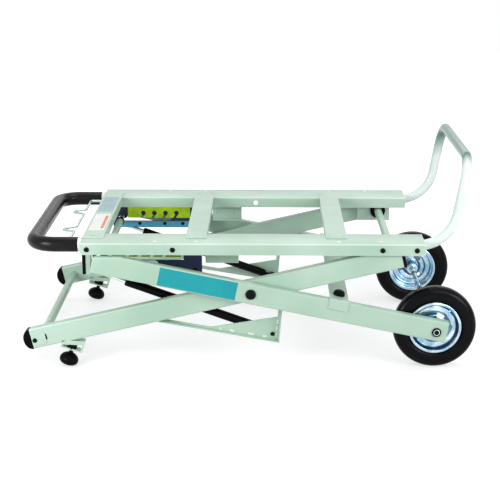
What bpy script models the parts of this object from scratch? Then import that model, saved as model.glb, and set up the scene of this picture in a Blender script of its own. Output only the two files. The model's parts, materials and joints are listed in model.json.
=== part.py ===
"""Folding wheeled stand for a table saw, in its folded position.

Metres, Z up, the floor at zero. X runs from the foot end to the wheel end and Y
from the near side to the far side. Side values are -1 for near and +1 for far.
"""
import math
import bpy
import bmesh
from mathutils import Matrix, Vector

# driving dimensions, in metres and degrees
GAP = 0.0003
RUN = 0.00015
HOLE_EASE = 0.0002
RING = 20
FINE_RING = 36
WIRE_RING = 10
SIDES = (-1, 1)

# table rails
RAIL_HALF_X = 0.404
RAIL_TOP_Z = 0.310
RAIL_OUT_Y = 0.2837
RAIL_WIDTH = 0.0961
RAIL_DEEP = 0.028
RAIL_WALL = 0.0025
RAIL_BEND = 0.004
RAIL_INNER_BEND = 0.0015
RAIL_HOLE_R = 0.006
RAIL_HOLE_X = 0.004

# plates that bridge the rails
PLATE_THICK = 0.0025
PLATE_HALF_Y = 0.237
PLATE_FLANGE = 0.018
PLATE_BEND = 0.0012
FLANGE_EASE = 0.0046
END_PLATE_WIDE = 0.0495
END_FLANGE = 0.025
CROSS_LEFT_IN = 0.2701
CROSS_RIGHT_IN = 0.2054
CROSS_WIDE = 0.0496
GUSSET_REACH = 0.018
GUSSET_RUN = 0.022

# handles
TUBE_R = 0.0125
TUBE_WALL = 0.0015
ARM_Y = 0.2357
GRIP_R = 0.018
GRIP_COLLAR = 0.006
GRIP_EASE = 0.0008
LEFT_ARM_IN = 0.234
LEFT_REACH = 0.122
LEFT_CORNER = 0.055
RIGHT_ARM_IN = 0.119
RIGHT_BEND_R = 0.075
RIGHT_BEND_DEG = 80.0
RIGHT_TOP_Z = 0.500
RIGHT_CORNER = 0.060
ARC_STEP_DEG = 15.0
TUBE_RING = 16
BAR_RING = 8

# legs
LEG_HIGH = 0.050
LEG_WIDE = 0.024
LEG_WALL = 0.002
LEG_ROUND = 0.003
PIVOT_X = -0.004
PIVOT_Z = 0.1915
LEG_OVER_AXLE = 0.00239
LEG_OVER_SHAFT = 0.00154
OUTER_IN_Y = 0.2755
INNER_IN_Y = 0.249
OUTER_TAIL = 0.015
OUTER_HEAD = 0.026
OUTER_CUT_DROP = 0.003
OUTER_CUT_CORNER = 0.003
INNER_TAIL = 0.0901
INNER_HEAD = 0.0179
PIN_R = 0.008
PIN_NUT_R = 0.011
PIN_NUT_HIGH = 0.006
PIN_WASHER_R = 0.014
PIN_CAP_R = 0.0125
PIN_CAP_HIGH = 0.0062

# slide rod on the outer legs
ROD_IN = 0.0433
ROD_Z = 0.2445
ROD_TUBE_R = 0.009
ROD_PIN_R = 0.006
ROD_TUBE_Y = 0.178
EAR_THICK = 0.005
EAR_HALF = 0.015
EAR_UP = 0.030
BUSH_R = 0.011
BUSH_WIDE = 0.012

# slotted guide, hooked lock plate and their spacers
GUIDE_Y = 0.2195
GUIDE_THICK = 0.003
GUIDE_IN = 0.021
GUIDE_LONG = 0.273
GUIDE_UNDER = 0.0186
GUIDE_OVER = 0.0471
SLOT_ROOM_UNDER = 0.0019
SLOT_ROOM_OVER = 0.0009
SLOT_LEFT_ROOM = 0.003
ROD_TRAVEL = 0.126
LOCK_Y = 0.1905
LOCK_IN = 0.064
LOCK_LONG = 0.167
LOCK_OVER_SLOT = 0.0006
LOCK_EDGE = 0.0108
HOOK_IN = 0.1055
HOOK_PITCH = 0.0297
HOOK_COUNT = 4
HOOK_RISE = 0.0132
HOOK_R = 0.0065
HOOK_NECK = 0.0075
HOOK_LEAN = 0.006
SPACER_STEPS = (0.015, 0.085, 0.150)
SPACER_RISE = 0.0370
SPACER_R = 0.005

# brackets under the rails
STAY_IN = 0.291
STAY_LONG = 0.079
STAY_LOW = 0.2434
STAY_Y = 0.2105
STAY_FLANGE = 0.013
BRACKET_THICK = 0.003
SHAFT_IN = 0.071
SHAFT_Z = 0.269
SHAFT_R = 0.010
SHAFT_WALL = 0.002
SHAFT_BRACKET_BACK = 0.054
SHAFT_BRACKET_AHEAD = 0.032
SHAFT_BRACKET_LOW = 0.2415
SHAFT_BRACKET_Y = 0.213
SHAFT_BUSH_R = 0.020
SHAFT_BUSH_WIDE = 0.006

# gas springs
SPRING_Y = 0.2345
SPRING_PIN_X = 0.048
SPRING_PIN_Z = 0.077
ANCHOR_IN = 0.009
ANCHOR_Z = 0.236
SPRING_PIN_R = 0.005
SPRING_EYE_R = 0.010
SPRING_EYE_WIDE = 0.014
SPRING_NECK_R = 0.005
CYL_START = 0.022
ROD_SHOWN = 0.0967
CYL_R = 0.0105
BORE_ROOM = 0.0187
PISTON_R = 0.005
PISTON_LONG = 0.262
ROD_EYE_R = 0.008
ROD_EYE_WIDE = 0.012
ANCHOR_OUT = 0.0005
ANCHOR_WIDE = 0.0197
ANCHOR_LOW = 0.2235
ANCHOR_IN_Y = 0.2205
ANCHOR_OUT_Y = 0.2485

# gussets under the inner legs
GUS_WEB_IN = 0.2457
GUS_FLANGE_Y = 0.262
GUS_LEFT_X = -0.245
GUS_BASE_X = -0.216
GUS_BASE_DROP = 0.0081
GUS_SLOPE = -0.178
GUS_CORNER_X = 0.064
GUS_RIGHT_X = 0.0745
GUS_LAP = 0.012
GUS_STRUT = 0.006
GUS_FLANGE_START = -0.224
GUS_WEB_X = -0.100
GUS_WEB_RIGHT_X = 0.060
GUS_WEB_RIGHT_Z = 0.1195
GUS_RIGHT_STRIP = 0.009
SPRING_HEAD_R = 0.0075
SPRING_HEAD_HIGH = 0.004

# feet and the caps on the inner legs
FOOT_OUT = 0.037
FOOT_PAD_R = 0.0235
FOOT_PAD_HIGH = 0.011
FOOT_DOME_R = 0.011
FOOT_DOME_Z = 0.021
FOOT_STUD_R = 0.005
FOOT_PLATE_Z = 0.0385
FOOT_PLATE_THICK = 0.003
FOOT_BRACKET_HALF = 0.027
FOOT_CHEEK = 0.0025
CAP_THICK = 0.016
CAP_PLUG = 0.016
CAP_ROUND = 0.0055
TOP_CAP_THICK = 0.008
FOOT_TUBE_IN = 0.027
FOOT_TUBE_R = 0.010

# cross plate with bumpers on the outer legs
STRAP_START = 0.1847
STRAP_STOP = 0.2301
STRAP_THICK = 0.003
STRAP_TAB = 0.021
BUMPER_R = 0.014
BUMPER_TOP_R = 0.010
BUMPER_HIGH = 0.012
BUMPER_Y = 0.258

# wheels and axle
WHEEL_OUT = 0.030
WHEEL_R = 0.100
WHEEL_Y = 0.2515
AXLE_R = 0.007
NUT_R = 0.011
NUT_HIGH = 0.008
TYRE_HALF = 0.021
TYRE_SEAT_R = 0.059
TYRE_BEAD_R = 0.0645
TYRE_BEAD_HALF = 0.0158
TYRE_WIDE_R = 0.078
TYRE_SHOULDER_R = 0.0925
TYRE_SHOULDER_HALF = 0.0180
TREAD_HALF = 0.0115
TREAD_EDGE_R = 0.0985
RIM_HALF = 0.0180
RIM_FLANGE_R = 0.0632
RIM_WALL = 0.002
RIM_DISH = 0.008
RIM_HUB_R = 0.026
HUB_R = 0.0155
HUB_HALF = 0.0232
RIM_HOLES = 3
RIM_HOLE_HALF = 0.0056
RIM_HOLE_LONG = 0.0205
RIM_HOLE_RING = 0.0285
RIM_HOLE_DEG = 30.0

# release lever of bent wire
WIRE_R = 0.0025
WIRE_IN = 0.012
WIRE_PIVOT_Z = 0.2935
WIRE_ARM_Y = 0.2095
WIRE_OUT = 0.037
WIRE_LOOP_REACH = 0.027
WIRE_LOOP_OUT = 0.112
WIRE_LOOP_TIP_OUT = 0.100
WIRE_LOOP_TIP_IN = 0.080
WIRE_LOOP_IN = 0.066
WIRE_BEND = 0.006

# derived places
RAIL_IN_Y = RAIL_OUT_Y - RAIL_WIDTH
RAIL_LOW_Z = RAIL_TOP_Z - RAIL_DEEP
RAIL_ROOF_Z = RAIL_TOP_Z - RAIL_WALL
PLATE_LOW_Z = RAIL_TOP_Z + GAP
PLATE_TOP_Z = PLATE_LOW_Z + PLATE_THICK
ARM_Z = RAIL_ROOF_Z - GAP - TUBE_R
FLANGE_HALF_Y = RAIL_IN_Y - FLANGE_EASE
OUTER_OUT_Y = OUTER_IN_Y + LEG_WIDE
INNER_OUT_Y = INNER_IN_Y + LEG_WIDE
RAIL_LEFT = -RAIL_HALF_X
CROSS_LEFT_X = RAIL_LEFT + CROSS_LEFT_IN
CROSS_RIGHT_X = RAIL_HALF_X - CROSS_RIGHT_IN
ROD_X = RAIL_LEFT + ROD_IN
SHAFT_X = RAIL_HALF_X - SHAFT_IN
WHEEL_X = RAIL_HALF_X + WHEEL_OUT
FOOT_X = RAIL_LEFT - FOOT_OUT
ANCHOR_X = RAIL_LEFT + ANCHOR_IN
OUTER_TURN = math.atan2(WHEEL_R + LEG_OVER_AXLE - PIVOT_Z, WHEEL_X - PIVOT_X)
INNER_TURN = math.atan2(SHAFT_Z + LEG_OVER_SHAFT - PIVOT_Z, SHAFT_X - PIVOT_X)
OUTER_COS = math.cos(OUTER_TURN)
INNER_COS = math.cos(INNER_TURN)
OUTER_LEFT = (ROD_X - PIVOT_X) / OUTER_COS - OUTER_TAIL
OUTER_RIGHT = (WHEEL_X - PIVOT_X) / OUTER_COS + OUTER_HEAD
INNER_LEFT = (FOOT_X - PIVOT_X) / INNER_COS - INNER_TAIL
INNER_RIGHT = (SHAFT_X - PIVOT_X) / INNER_COS + INNER_HEAD
SLOT_FLOOR_Z = ROD_Z - ROD_PIN_R - SLOT_ROOM_UNDER
SLOT_ROOF_Z = ROD_Z + ROD_PIN_R + SLOT_ROOM_OVER
GUIDE_LEFT = RAIL_LEFT + GUIDE_IN
GUIDE_LOW = SLOT_FLOOR_Z - GUIDE_UNDER
GUIDE_UP = SLOT_ROOF_Z + GUIDE_OVER
LOCK_LEFT = RAIL_LEFT + LOCK_IN
LOCK_LOW_Z = SLOT_ROOF_Z + LOCK_OVER_SLOT
SPACER_Z = LOCK_LOW_Z + SPACER_RISE
LOCK_TOP_Z = SPACER_Z + LOCK_EDGE
HOOK_X = RAIL_LEFT + HOOK_IN
STAY_LEFT = RAIL_LEFT + STAY_IN
ANCHOR_LEFT = RAIL_LEFT - ANCHOR_OUT
WIRE_PIVOT_X = RAIL_LEFT + WIRE_IN
WIRE_BAR_X = RAIL_LEFT - WIRE_OUT
WIRE_LOOP_X = WIRE_BAR_X - WIRE_LOOP_REACH


def material(name, colour, rough, metal):
    """A plain surface with its own colour, roughness and metal share."""
    mat = bpy.data.materials.new(name)
    mat.use_nodes = True
    shader = mat.node_tree.nodes["Principled BSDF"]
    shader.inputs["Base Color"].default_value = (colour[0], colour[1], colour[2], 1.0)
    shader.inputs["Roughness"].default_value = rough
    shader.inputs["Metallic"].default_value = metal
    mat.diffuse_color = (colour[0], colour[1], colour[2], 1.0)
    return mat


def make_materials():
    """Every finish that the pieces wear, by its plain name."""
    table = {
        "pale_enamel": ((0.60, 0.70, 0.60), 0.38, 0.0),
        "bare_tube": ((0.78, 0.82, 0.79), 0.30, 0.6),
        "black_foam": ((0.025, 0.026, 0.026), 0.85, 0.0),
        "black_rubber": ((0.020, 0.021, 0.022), 0.55, 0.0),
        "black_plastic": ((0.018, 0.018, 0.018), 0.45, 0.0),
        "black_steel": ((0.015, 0.015, 0.016), 0.35, 0.2),
        "zinc_plate": ((0.72, 0.78, 0.82), 0.22, 1.0),
        "bright_wire": ((0.70, 0.76, 0.75), 0.28, 0.9),
        "gold_zinc": ((0.62, 0.66, 0.30), 0.35, 0.8),
        "navy_enamel": ((0.020, 0.085, 0.19), 0.40, 0.0),
    }
    return {name: material(name, *values) for name, values in table.items()}


MATS = {}


def finish(name, bm, mat, round_deg=None):
    """Turn a bmesh into a named object with clean outward faces."""
    bmesh.ops.recalc_face_normals(bm, faces=bm.faces)
    mesh = bpy.data.meshes.new(name)
    bm.to_mesh(mesh)
    bm.free()
    mesh.materials.append(MATS[mat])
    obj = bpy.data.objects.new(name, mesh)
    bpy.context.scene.collection.objects.link(obj)
    if round_deg is not None:
        for poly in mesh.polygons:
            poly.use_smooth = True
        mesh.set_sharp_from_angle(angle=math.radians(round_deg))
    return obj


def prism(bm, points, low, high, axis="Y"):
    """Extrude a closed outline from low to high along one axis."""
    made = []
    for across, up in points:
        if axis == "Y":
            made.append(bm.verts.new((across, low, up)))
        elif axis == "X":
            made.append(bm.verts.new((low, across, up)))
        else:
            made.append(bm.verts.new((across, up, low)))
    face = bm.faces.new(made)
    out = bmesh.ops.extrude_face_region(bm, geom=[face])
    moved = [item for item in out["geom"] if isinstance(item, bmesh.types.BMVert)]
    step = {"X": (high - low, 0, 0), "Y": (0, high - low, 0), "Z": (0, 0, high - low)}[axis]
    bmesh.ops.translate(bm, verts=moved, vec=step)
    return made + moved


def box(bm, x0, x1, y0, y1, z0, z1):
    """A straight block between two corners."""
    return prism(bm, [(x0, z0), (x1, z0), (x1, z1), (x0, z1)], y0, y1)


def span(side, near, far):
    """Two widths on one side, in rising order."""
    return (side * near, side * far) if side > 0 else (side * far, side * near)


def round_edges(bm, width, segments, wanted):
    """Bevel the edges that a test picks."""
    bm.normal_update()
    edges = [edge for edge in bm.edges if wanted(edge)]
    bmesh.ops.bevel(bm, geom=edges, offset=width, segments=segments, profile=0.5,
                    affect="EDGES", clamp_overlap=True)


def spin(bm, profile, count, closed, axis=(0, 1, 0), centre=(0, 0, 0)):
    """Turn a profile of (along, radius) pairs about an axis through a centre."""
    turn = Vector(axis).normalized()
    side = turn.orthogonal().normalized()
    base = Vector(centre)
    verts = [bm.verts.new(base + turn * along + side * radius) for along, radius in profile]
    pairs = list(zip(verts[:-1], verts[1:]))
    if closed:
        pairs.append((verts[-1], verts[0]))
    edges = [bm.edges.new(pair) for pair in pairs]
    bmesh.ops.spin(bm, geom=verts + edges, cent=base, axis=turn, angle=math.tau,
                   steps=count, use_duplicate=False)
    bmesh.ops.remove_doubles(bm, verts=bm.verts, dist=RUN / 2)


def rod_profile(start, stop, radius):
    """Profile of a plain round bar."""
    return [(start, 0), (start, radius), (stop, radius), (stop, 0)]


def cut(obj, cutters, operation="DIFFERENCE"):
    """Cut or join solids with the exact solver and keep the result."""
    for index, cutter in enumerate(cutters):
        mod = obj.modifiers.new("solid_%d" % index, "BOOLEAN")
        mod.operation = operation
        mod.solver = "EXACT"
        mod.object = cutter
        cutter.hide_render = True
        cutter.display_type = "WIRE"
    graph = bpy.context.evaluated_depsgraph_get()
    graph.update()
    mesh = bpy.data.meshes.new_from_object(obj.evaluated_get(graph))
    obj.modifiers.clear()
    old = obj.data
    obj.data = mesh
    mesh.name = obj.name
    bpy.data.meshes.remove(old)
    for cutter in cutters:
        data = cutter.data
        bpy.data.objects.remove(cutter)
        bpy.data.meshes.remove(data)
    return obj


def tool(build):
    """A throwaway solid for cutting or joining."""
    bm = bmesh.new()
    build(bm)
    return finish("tool", bm, "black_steel")


def soften(obj, round_deg):
    """Shade the round faces of a finished solid smooth."""
    for poly in obj.data.polygons:
        poly.use_smooth = True
    obj.data.set_sharp_from_angle(angle=math.radians(round_deg))
    return obj


def hole_tool(x, z, radius, y0, y1, count=RING):
    """A round cutter along Y."""
    return tool(lambda bm: spin(bm, rod_profile(y0, y1, radius), count, False,
                                centre=(x, 0, z)))


def leg_point(turn, along, up):
    """A point given along and across a leg, measured from the main pivot."""
    x = PIVOT_X + along * math.cos(turn) - up * math.sin(turn)
    z = PIVOT_Z + along * math.sin(turn) + up * math.cos(turn)
    return (x, z)


def leg_box(bm, turn, s0, s1, n0, n1, y0, y1):
    """A block lying along a leg."""
    corners = [(s0, n0), (s1, n0), (s1, n1), (s0, n1)]
    return prism(bm, [leg_point(turn, s, n) for s, n in corners], y0, y1)


def inner_low(x):
    """Height of the inner leg's lower face at x."""
    return PIVOT_Z + (x - PIVOT_X) * math.tan(INNER_TURN) - LEG_HIGH / 2 / INNER_COS


def fillet_path(points, radii):
    """A line through corner points with an arc at each inner corner."""
    path = [Vector(points[0])]
    for index in range(1, len(points) - 1):
        here = Vector(points[index])
        back = (Vector(points[index - 1]) - here).normalized()
        ahead = (Vector(points[index + 1]) - here).normalized()
        turn = math.pi - back.angle(ahead)
        radius = radii[index - 1]
        reach = radius * math.tan(turn / 2)
        centre = here + (back + ahead).normalized() * (radius / math.cos(turn / 2))
        start = here + back * reach - centre
        axis = start.cross(here + ahead * reach - centre).normalized()
        steps = max(2, round(math.degrees(turn) / ARC_STEP_DEG))
        for step in range(steps + 1):
            path.append(centre + Matrix.Rotation(turn * step / steps, 3, axis) @ start)
    path.append(Vector(points[-1]))
    return path


def tube_along(name, path, radius, wall, mat, count):
    """A round bar or tube swept along a path by a bevelled curve."""
    curve = bpy.data.curves.new(name, "CURVE")
    curve.dimensions = "3D"
    curve.bevel_depth = radius
    curve.bevel_resolution = count // 4 - 1
    curve.use_fill_caps = wall is None
    line = curve.splines.new("POLY")
    line.points.add(len(path) - 1)
    for point, place in zip(line.points, path):
        point.co = (place.x, place.y, place.z, 1.0)
    holder = bpy.data.objects.new(name + "_line", curve)
    bpy.context.scene.collection.objects.link(holder)
    if wall is not None:
        shell = holder.modifiers.new("wall", "SOLIDIFY")
        shell.thickness = wall
        shell.offset = -1.0
        shell.use_even_offset = True
    graph = bpy.context.evaluated_depsgraph_get()
    graph.update()
    mesh = bpy.data.meshes.new_from_object(holder.evaluated_get(graph))
    bpy.data.objects.remove(holder)
    bpy.data.curves.remove(curve)
    bm = bmesh.new()
    bm.from_mesh(mesh)
    bpy.data.meshes.remove(mesh)
    bmesh.ops.remove_doubles(bm, verts=bm.verts, dist=RUN / 10)
    for face in bm.faces:
        face.material_index = 0
    return finish(name, bm, mat, 40)


def side_name(side):
    """The word for one side."""
    return "near" if side < 0 else "far"


def rail(side):
    """An inverted channel with two holes in its inner skirt."""
    outer = side * RAIL_OUT_Y
    inner = side * RAIL_IN_Y
    wall = side * RAIL_WALL
    outline = [(outer, RAIL_LOW_Z), (outer, RAIL_TOP_Z), (inner, RAIL_TOP_Z), (inner, RAIL_LOW_Z),
               (inner + wall, RAIL_LOW_Z), (inner + wall, RAIL_ROOF_Z),
               (outer - wall, RAIL_ROOF_Z), (outer - wall, RAIL_LOW_Z)]
    bm = bmesh.new()
    prism(bm, outline, RAIL_LEFT, RAIL_HALF_X, "X")
    reach = RAIL_TOP_Z - RAIL_WALL / 2
    round_edges(bm, RAIL_BEND, 3, lambda edge: long_x(edge) and edge_low(edge) > reach)
    round_edges(bm, RAIL_INNER_BEND, 1, lambda edge: long_x(edge)
                and abs(edge_low(edge) - RAIL_ROOF_Z) < GAP)
    obj = finish(side_name(side) + "_rail", bm, "pale_enamel")
    web = span(side, RAIL_IN_Y - GAP, RAIL_IN_Y + RAIL_WALL + GAP)
    tools = [hole_tool(WIRE_PIVOT_X, WIRE_PIVOT_Z, WIRE_R + HOLE_EASE, *web, WIRE_RING),
             hole_tool(RAIL_HOLE_X, ARM_Z, RAIL_HOLE_R, *web, WIRE_RING)]
    return soften(cut(obj, tools), 32)


def long_x(edge):
    """True for an edge that runs along X for most of the rail."""
    start, stop = edge.verts
    return abs(start.co.x - stop.co.x) > RAIL_HALF_X


def edge_low(edge):
    """The lower end of an edge."""
    return min(vert.co.z for vert in edge.verts)


def bridge_plate(name, x0, x1, flange, webs):
    """A pressed plate across both rails, with flanges hanging between them."""
    bm = bmesh.new()
    outline = [(x0, -PLATE_HALF_Y), (x1, -PLATE_HALF_Y), (x1, PLATE_HALF_Y), (x0, PLATE_HALF_Y)]
    if webs:
        edge = RAIL_IN_Y - GUSSET_RUN
        flare = RAIL_IN_Y
        outline = [(x0 - GUSSET_REACH, -flare), (x0 - GUSSET_REACH, -PLATE_HALF_Y),
                   (x1 + GUSSET_REACH, -PLATE_HALF_Y), (x1 + GUSSET_REACH, -flare), (x1, -edge),
                   (x1, edge), (x1 + GUSSET_REACH, flare), (x1 + GUSSET_REACH, PLATE_HALF_Y),
                   (x0 - GUSSET_REACH, PLATE_HALF_Y), (x0 - GUSSET_REACH, flare), (x0, edge),
                   (x0, -edge)]
    prism(bm, outline, PLATE_LOW_Z, PLATE_TOP_Z, "Z")
    obj = finish(name, bm, "pale_enamel")
    half = FLANGE_HALF_Y - GUSSET_RUN if webs else FLANGE_HALF_Y
    walls = []
    for low, high in ((x0, x0 + PLATE_THICK), (x1 - PLATE_THICK, x1)):
        walls.append(tool(lambda bm, low=low, high=high: box(
            bm, low, high, -half, half, PLATE_TOP_Z - flange, PLATE_TOP_Z - PLATE_THICK / 2)))
    return cut(obj, walls, "UNION")


def left_path(start):
    """Centre line of the foot-end handle, from start on one arm to the other."""
    tip = RAIL_LEFT - LEFT_REACH
    return fillet_path([(start, -ARM_Y, ARM_Z), (tip, -ARM_Y, ARM_Z), (tip, ARM_Y, ARM_Z),
                        (start, ARM_Y, ARM_Z)], (LEFT_CORNER, LEFT_CORNER))


def right_path():
    """Centre line of the wheel-end handle, which curves up out of the rails."""
    turn = math.radians(RIGHT_BEND_DEG)
    reach = RIGHT_BEND_R * math.tan(turn / 2)
    bend_x = RAIL_HALF_X + reach
    top_x = bend_x + (RIGHT_TOP_Z - ARM_Z) / math.tan(turn)
    inner = RAIL_HALF_X - RIGHT_ARM_IN
    corners = []
    for side in SIDES:
        run = [(inner, side * ARM_Y, ARM_Z), (bend_x, side * ARM_Y, ARM_Z),
               (top_x, side * ARM_Y, RIGHT_TOP_Z)]
        corners += run if side < 0 else run[::-1]
    return fillet_path(corners, (RIGHT_BEND_R, RIGHT_CORNER, RIGHT_CORNER, RIGHT_BEND_R))


def handles():
    """Both tube handles and the foam grip."""
    tube_along("foot_end_handle", left_path(RAIL_LEFT + LEFT_ARM_IN), TUBE_R, TUBE_WALL,
               "bare_tube", TUBE_RING)
    tube_along("foam_grip", left_path(RAIL_LEFT - GRIP_COLLAR), GRIP_R,
               GRIP_R - TUBE_R - GRIP_EASE, "black_foam", TUBE_RING)
    tube_along("wheel_end_handle", right_path(), TUBE_R, TUBE_WALL, "bare_tube", TUBE_RING)


def stadium(bm, x0, x1, z0, z1, y0, y1):
    """A slot with round ends."""
    radius = (z1 - z0) / 2
    middle = (z0 + z1) / 2
    points = []
    for step in range(WIRE_RING // 2 + 1):
        turn = math.pi * step / (WIRE_RING // 2) - math.pi / 2
        points.append((x1 - radius + radius * math.cos(turn), middle + radius * math.sin(turn)))
    for step in range(WIRE_RING // 2 + 1):
        turn = math.pi * step / (WIRE_RING // 2) + math.pi / 2
        points.append((x0 + radius + radius * math.cos(turn), middle + radius * math.sin(turn)))
    prism(bm, points, y0, y1)


def slide_guide(side):
    """A slotted plate that carries the slide rod under the rail."""
    width = span(side, GUIDE_Y, GUIDE_Y + GUIDE_THICK)
    bm = bmesh.new()
    box(bm, GUIDE_LEFT, GUIDE_LEFT + GUIDE_LONG, *width, GUIDE_LOW, GUIDE_UP)
    obj = finish("slide_guide_" + side_name(side), bm, "navy_enamel")
    left = ROD_X - ROD_PIN_R - SLOT_LEFT_ROOM
    right = ROD_X + ROD_TRAVEL + ROD_PIN_R + SLOT_LEFT_ROOM
    slot = tool(lambda bm: stadium(bm, left, right, SLOT_FLOOR_Z, SLOT_ROOF_Z,
                                   width[0] - GAP, width[1] + GAP))
    return cut(obj, [slot])


def lock_plate(side):
    """A plated plate on three spacers, with four hooked notches open at its lower edge."""
    width = span(side, LOCK_Y, LOCK_Y + GUIDE_THICK)
    bm = bmesh.new()
    box(bm, LOCK_LEFT, LOCK_LEFT + LOCK_LONG, *width, LOCK_LOW_Z, LOCK_TOP_Z)
    obj = finish("lock_plate_" + side_name(side), bm, "gold_zinc")
    half = HOOK_NECK / 2
    open_turn = math.acos(half / HOOK_R)
    sweep = math.pi + 2 * open_turn
    low = LOCK_LOW_Z - GAP
    tools = []
    for index in range(HOOK_COUNT):
        x = HOOK_X + index * HOOK_PITCH
        notch = [(x - half - HOOK_LEAN, low), (x + half - HOOK_LEAN, low)]
        for step in range(WIRE_RING + 1):
            turn = sweep * step / WIRE_RING - open_turn
            notch.append((x + HOOK_R * math.cos(turn),
                          LOCK_LOW_Z + HOOK_RISE + HOOK_R * math.sin(turn)))
        tools.append(tool(lambda bm, notch=notch: prism(bm, notch, width[0] - GAP, width[1] + GAP)))
    cut(obj, tools)
    sleeve = span(side, LOCK_Y + GUIDE_THICK / 2, GUIDE_Y - GAP)
    sleeves = [hole_tool(LOCK_LEFT + step, SPACER_Z, SPACER_R, *sleeve, WIRE_RING)
               for step in SPACER_STEPS]
    return cut(obj, sleeves, "UNION")


def hung_bracket(name, side, x0, x1, low, inner_y, bottom_flange, holes):
    """A folded bracket that hangs from the roof of a rail."""
    top = RAIL_ROOF_Z - GAP
    bm = bmesh.new()
    box(bm, x0, x1, *span(side, inner_y, inner_y + BRACKET_THICK), low, top)
    obj = finish(name, bm, "pale_enamel")
    lip = span(side, inner_y - STAY_FLANGE, inner_y + BRACKET_THICK / 2)
    parts = [tool(lambda bm: box(bm, x0, x1, *lip, top - BRACKET_THICK, top))]
    if bottom_flange:
        parts.append(tool(lambda bm: box(bm, x0, x1, *lip, low, low + BRACKET_THICK)))
    cut(obj, parts, "UNION")
    if holes:
        width = span(side, inner_y - GAP, inner_y + BRACKET_THICK + GAP)
        cut(obj, [hole_tool(x, z, radius, *width) for x, z, radius in holes])
    return obj


def turned(name, side, profile, mat, closed, place, count=RING):
    """A piece turned about an axis along Y, from (distance out, radius) pairs."""
    bm = bmesh.new()
    spin(bm, [(side * y, r) for y, r in profile], count, closed, centre=(place[0], 0, place[1]))
    return finish(name + "_" + side_name(side), bm, mat, 40)


def ring(name, side, start, stop, bore, radius, place):
    """A black bush round an axis along Y."""
    profile = [(start, bore), (start, radius), (stop, radius), (stop, bore)]
    return turned(name, side, profile, "black_plastic", True, place)


def spring_anchor(side):
    """A folded fork under the handle tube, open round the top eye of a gas spring."""
    top = ARM_Z - TUBE_R - GAP
    bm = bmesh.new()
    box(bm, ANCHOR_LEFT, ANCHOR_LEFT + ANCHOR_WIDE, *span(side, ANCHOR_IN_Y, ANCHOR_OUT_Y),
        ANCHOR_LOW, top)
    obj = finish("spring_anchor_" + side_name(side), bm, "pale_enamel")
    room = span(side, ANCHOR_IN_Y + BRACKET_THICK, ANCHOR_OUT_Y - BRACKET_THICK)
    gap = tool(lambda bm: box(bm, ANCHOR_LEFT - GAP, ANCHOR_LEFT + ANCHOR_WIDE + GAP, *room,
                              ANCHOR_LOW - GAP, top - BRACKET_THICK))
    return cut(obj, [gap])


def release_lever():
    """A bail of bent wire with two finger loops, hung in the rails' inner walls."""
    z = WIRE_PIVOT_Z
    half = [(WIRE_PIVOT_X, RAIL_IN_Y - FLANGE_EASE / 4), (WIRE_PIVOT_X, WIRE_ARM_Y),
            (WIRE_BAR_X, WIRE_ARM_Y), (WIRE_BAR_X, WIRE_LOOP_OUT),
            (WIRE_LOOP_X, WIRE_LOOP_TIP_OUT), (WIRE_LOOP_X, WIRE_LOOP_TIP_IN),
            (WIRE_BAR_X, WIRE_LOOP_IN)]
    points = [(x, y, z) for x, y in half] + [(x, -y, z) for x, y in reversed(half)]
    path = fillet_path(points, [WIRE_BEND] * (len(points) - 2))
    tube_along("release_lever", path, WIRE_R, None, "bright_wire", BAR_RING)


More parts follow.
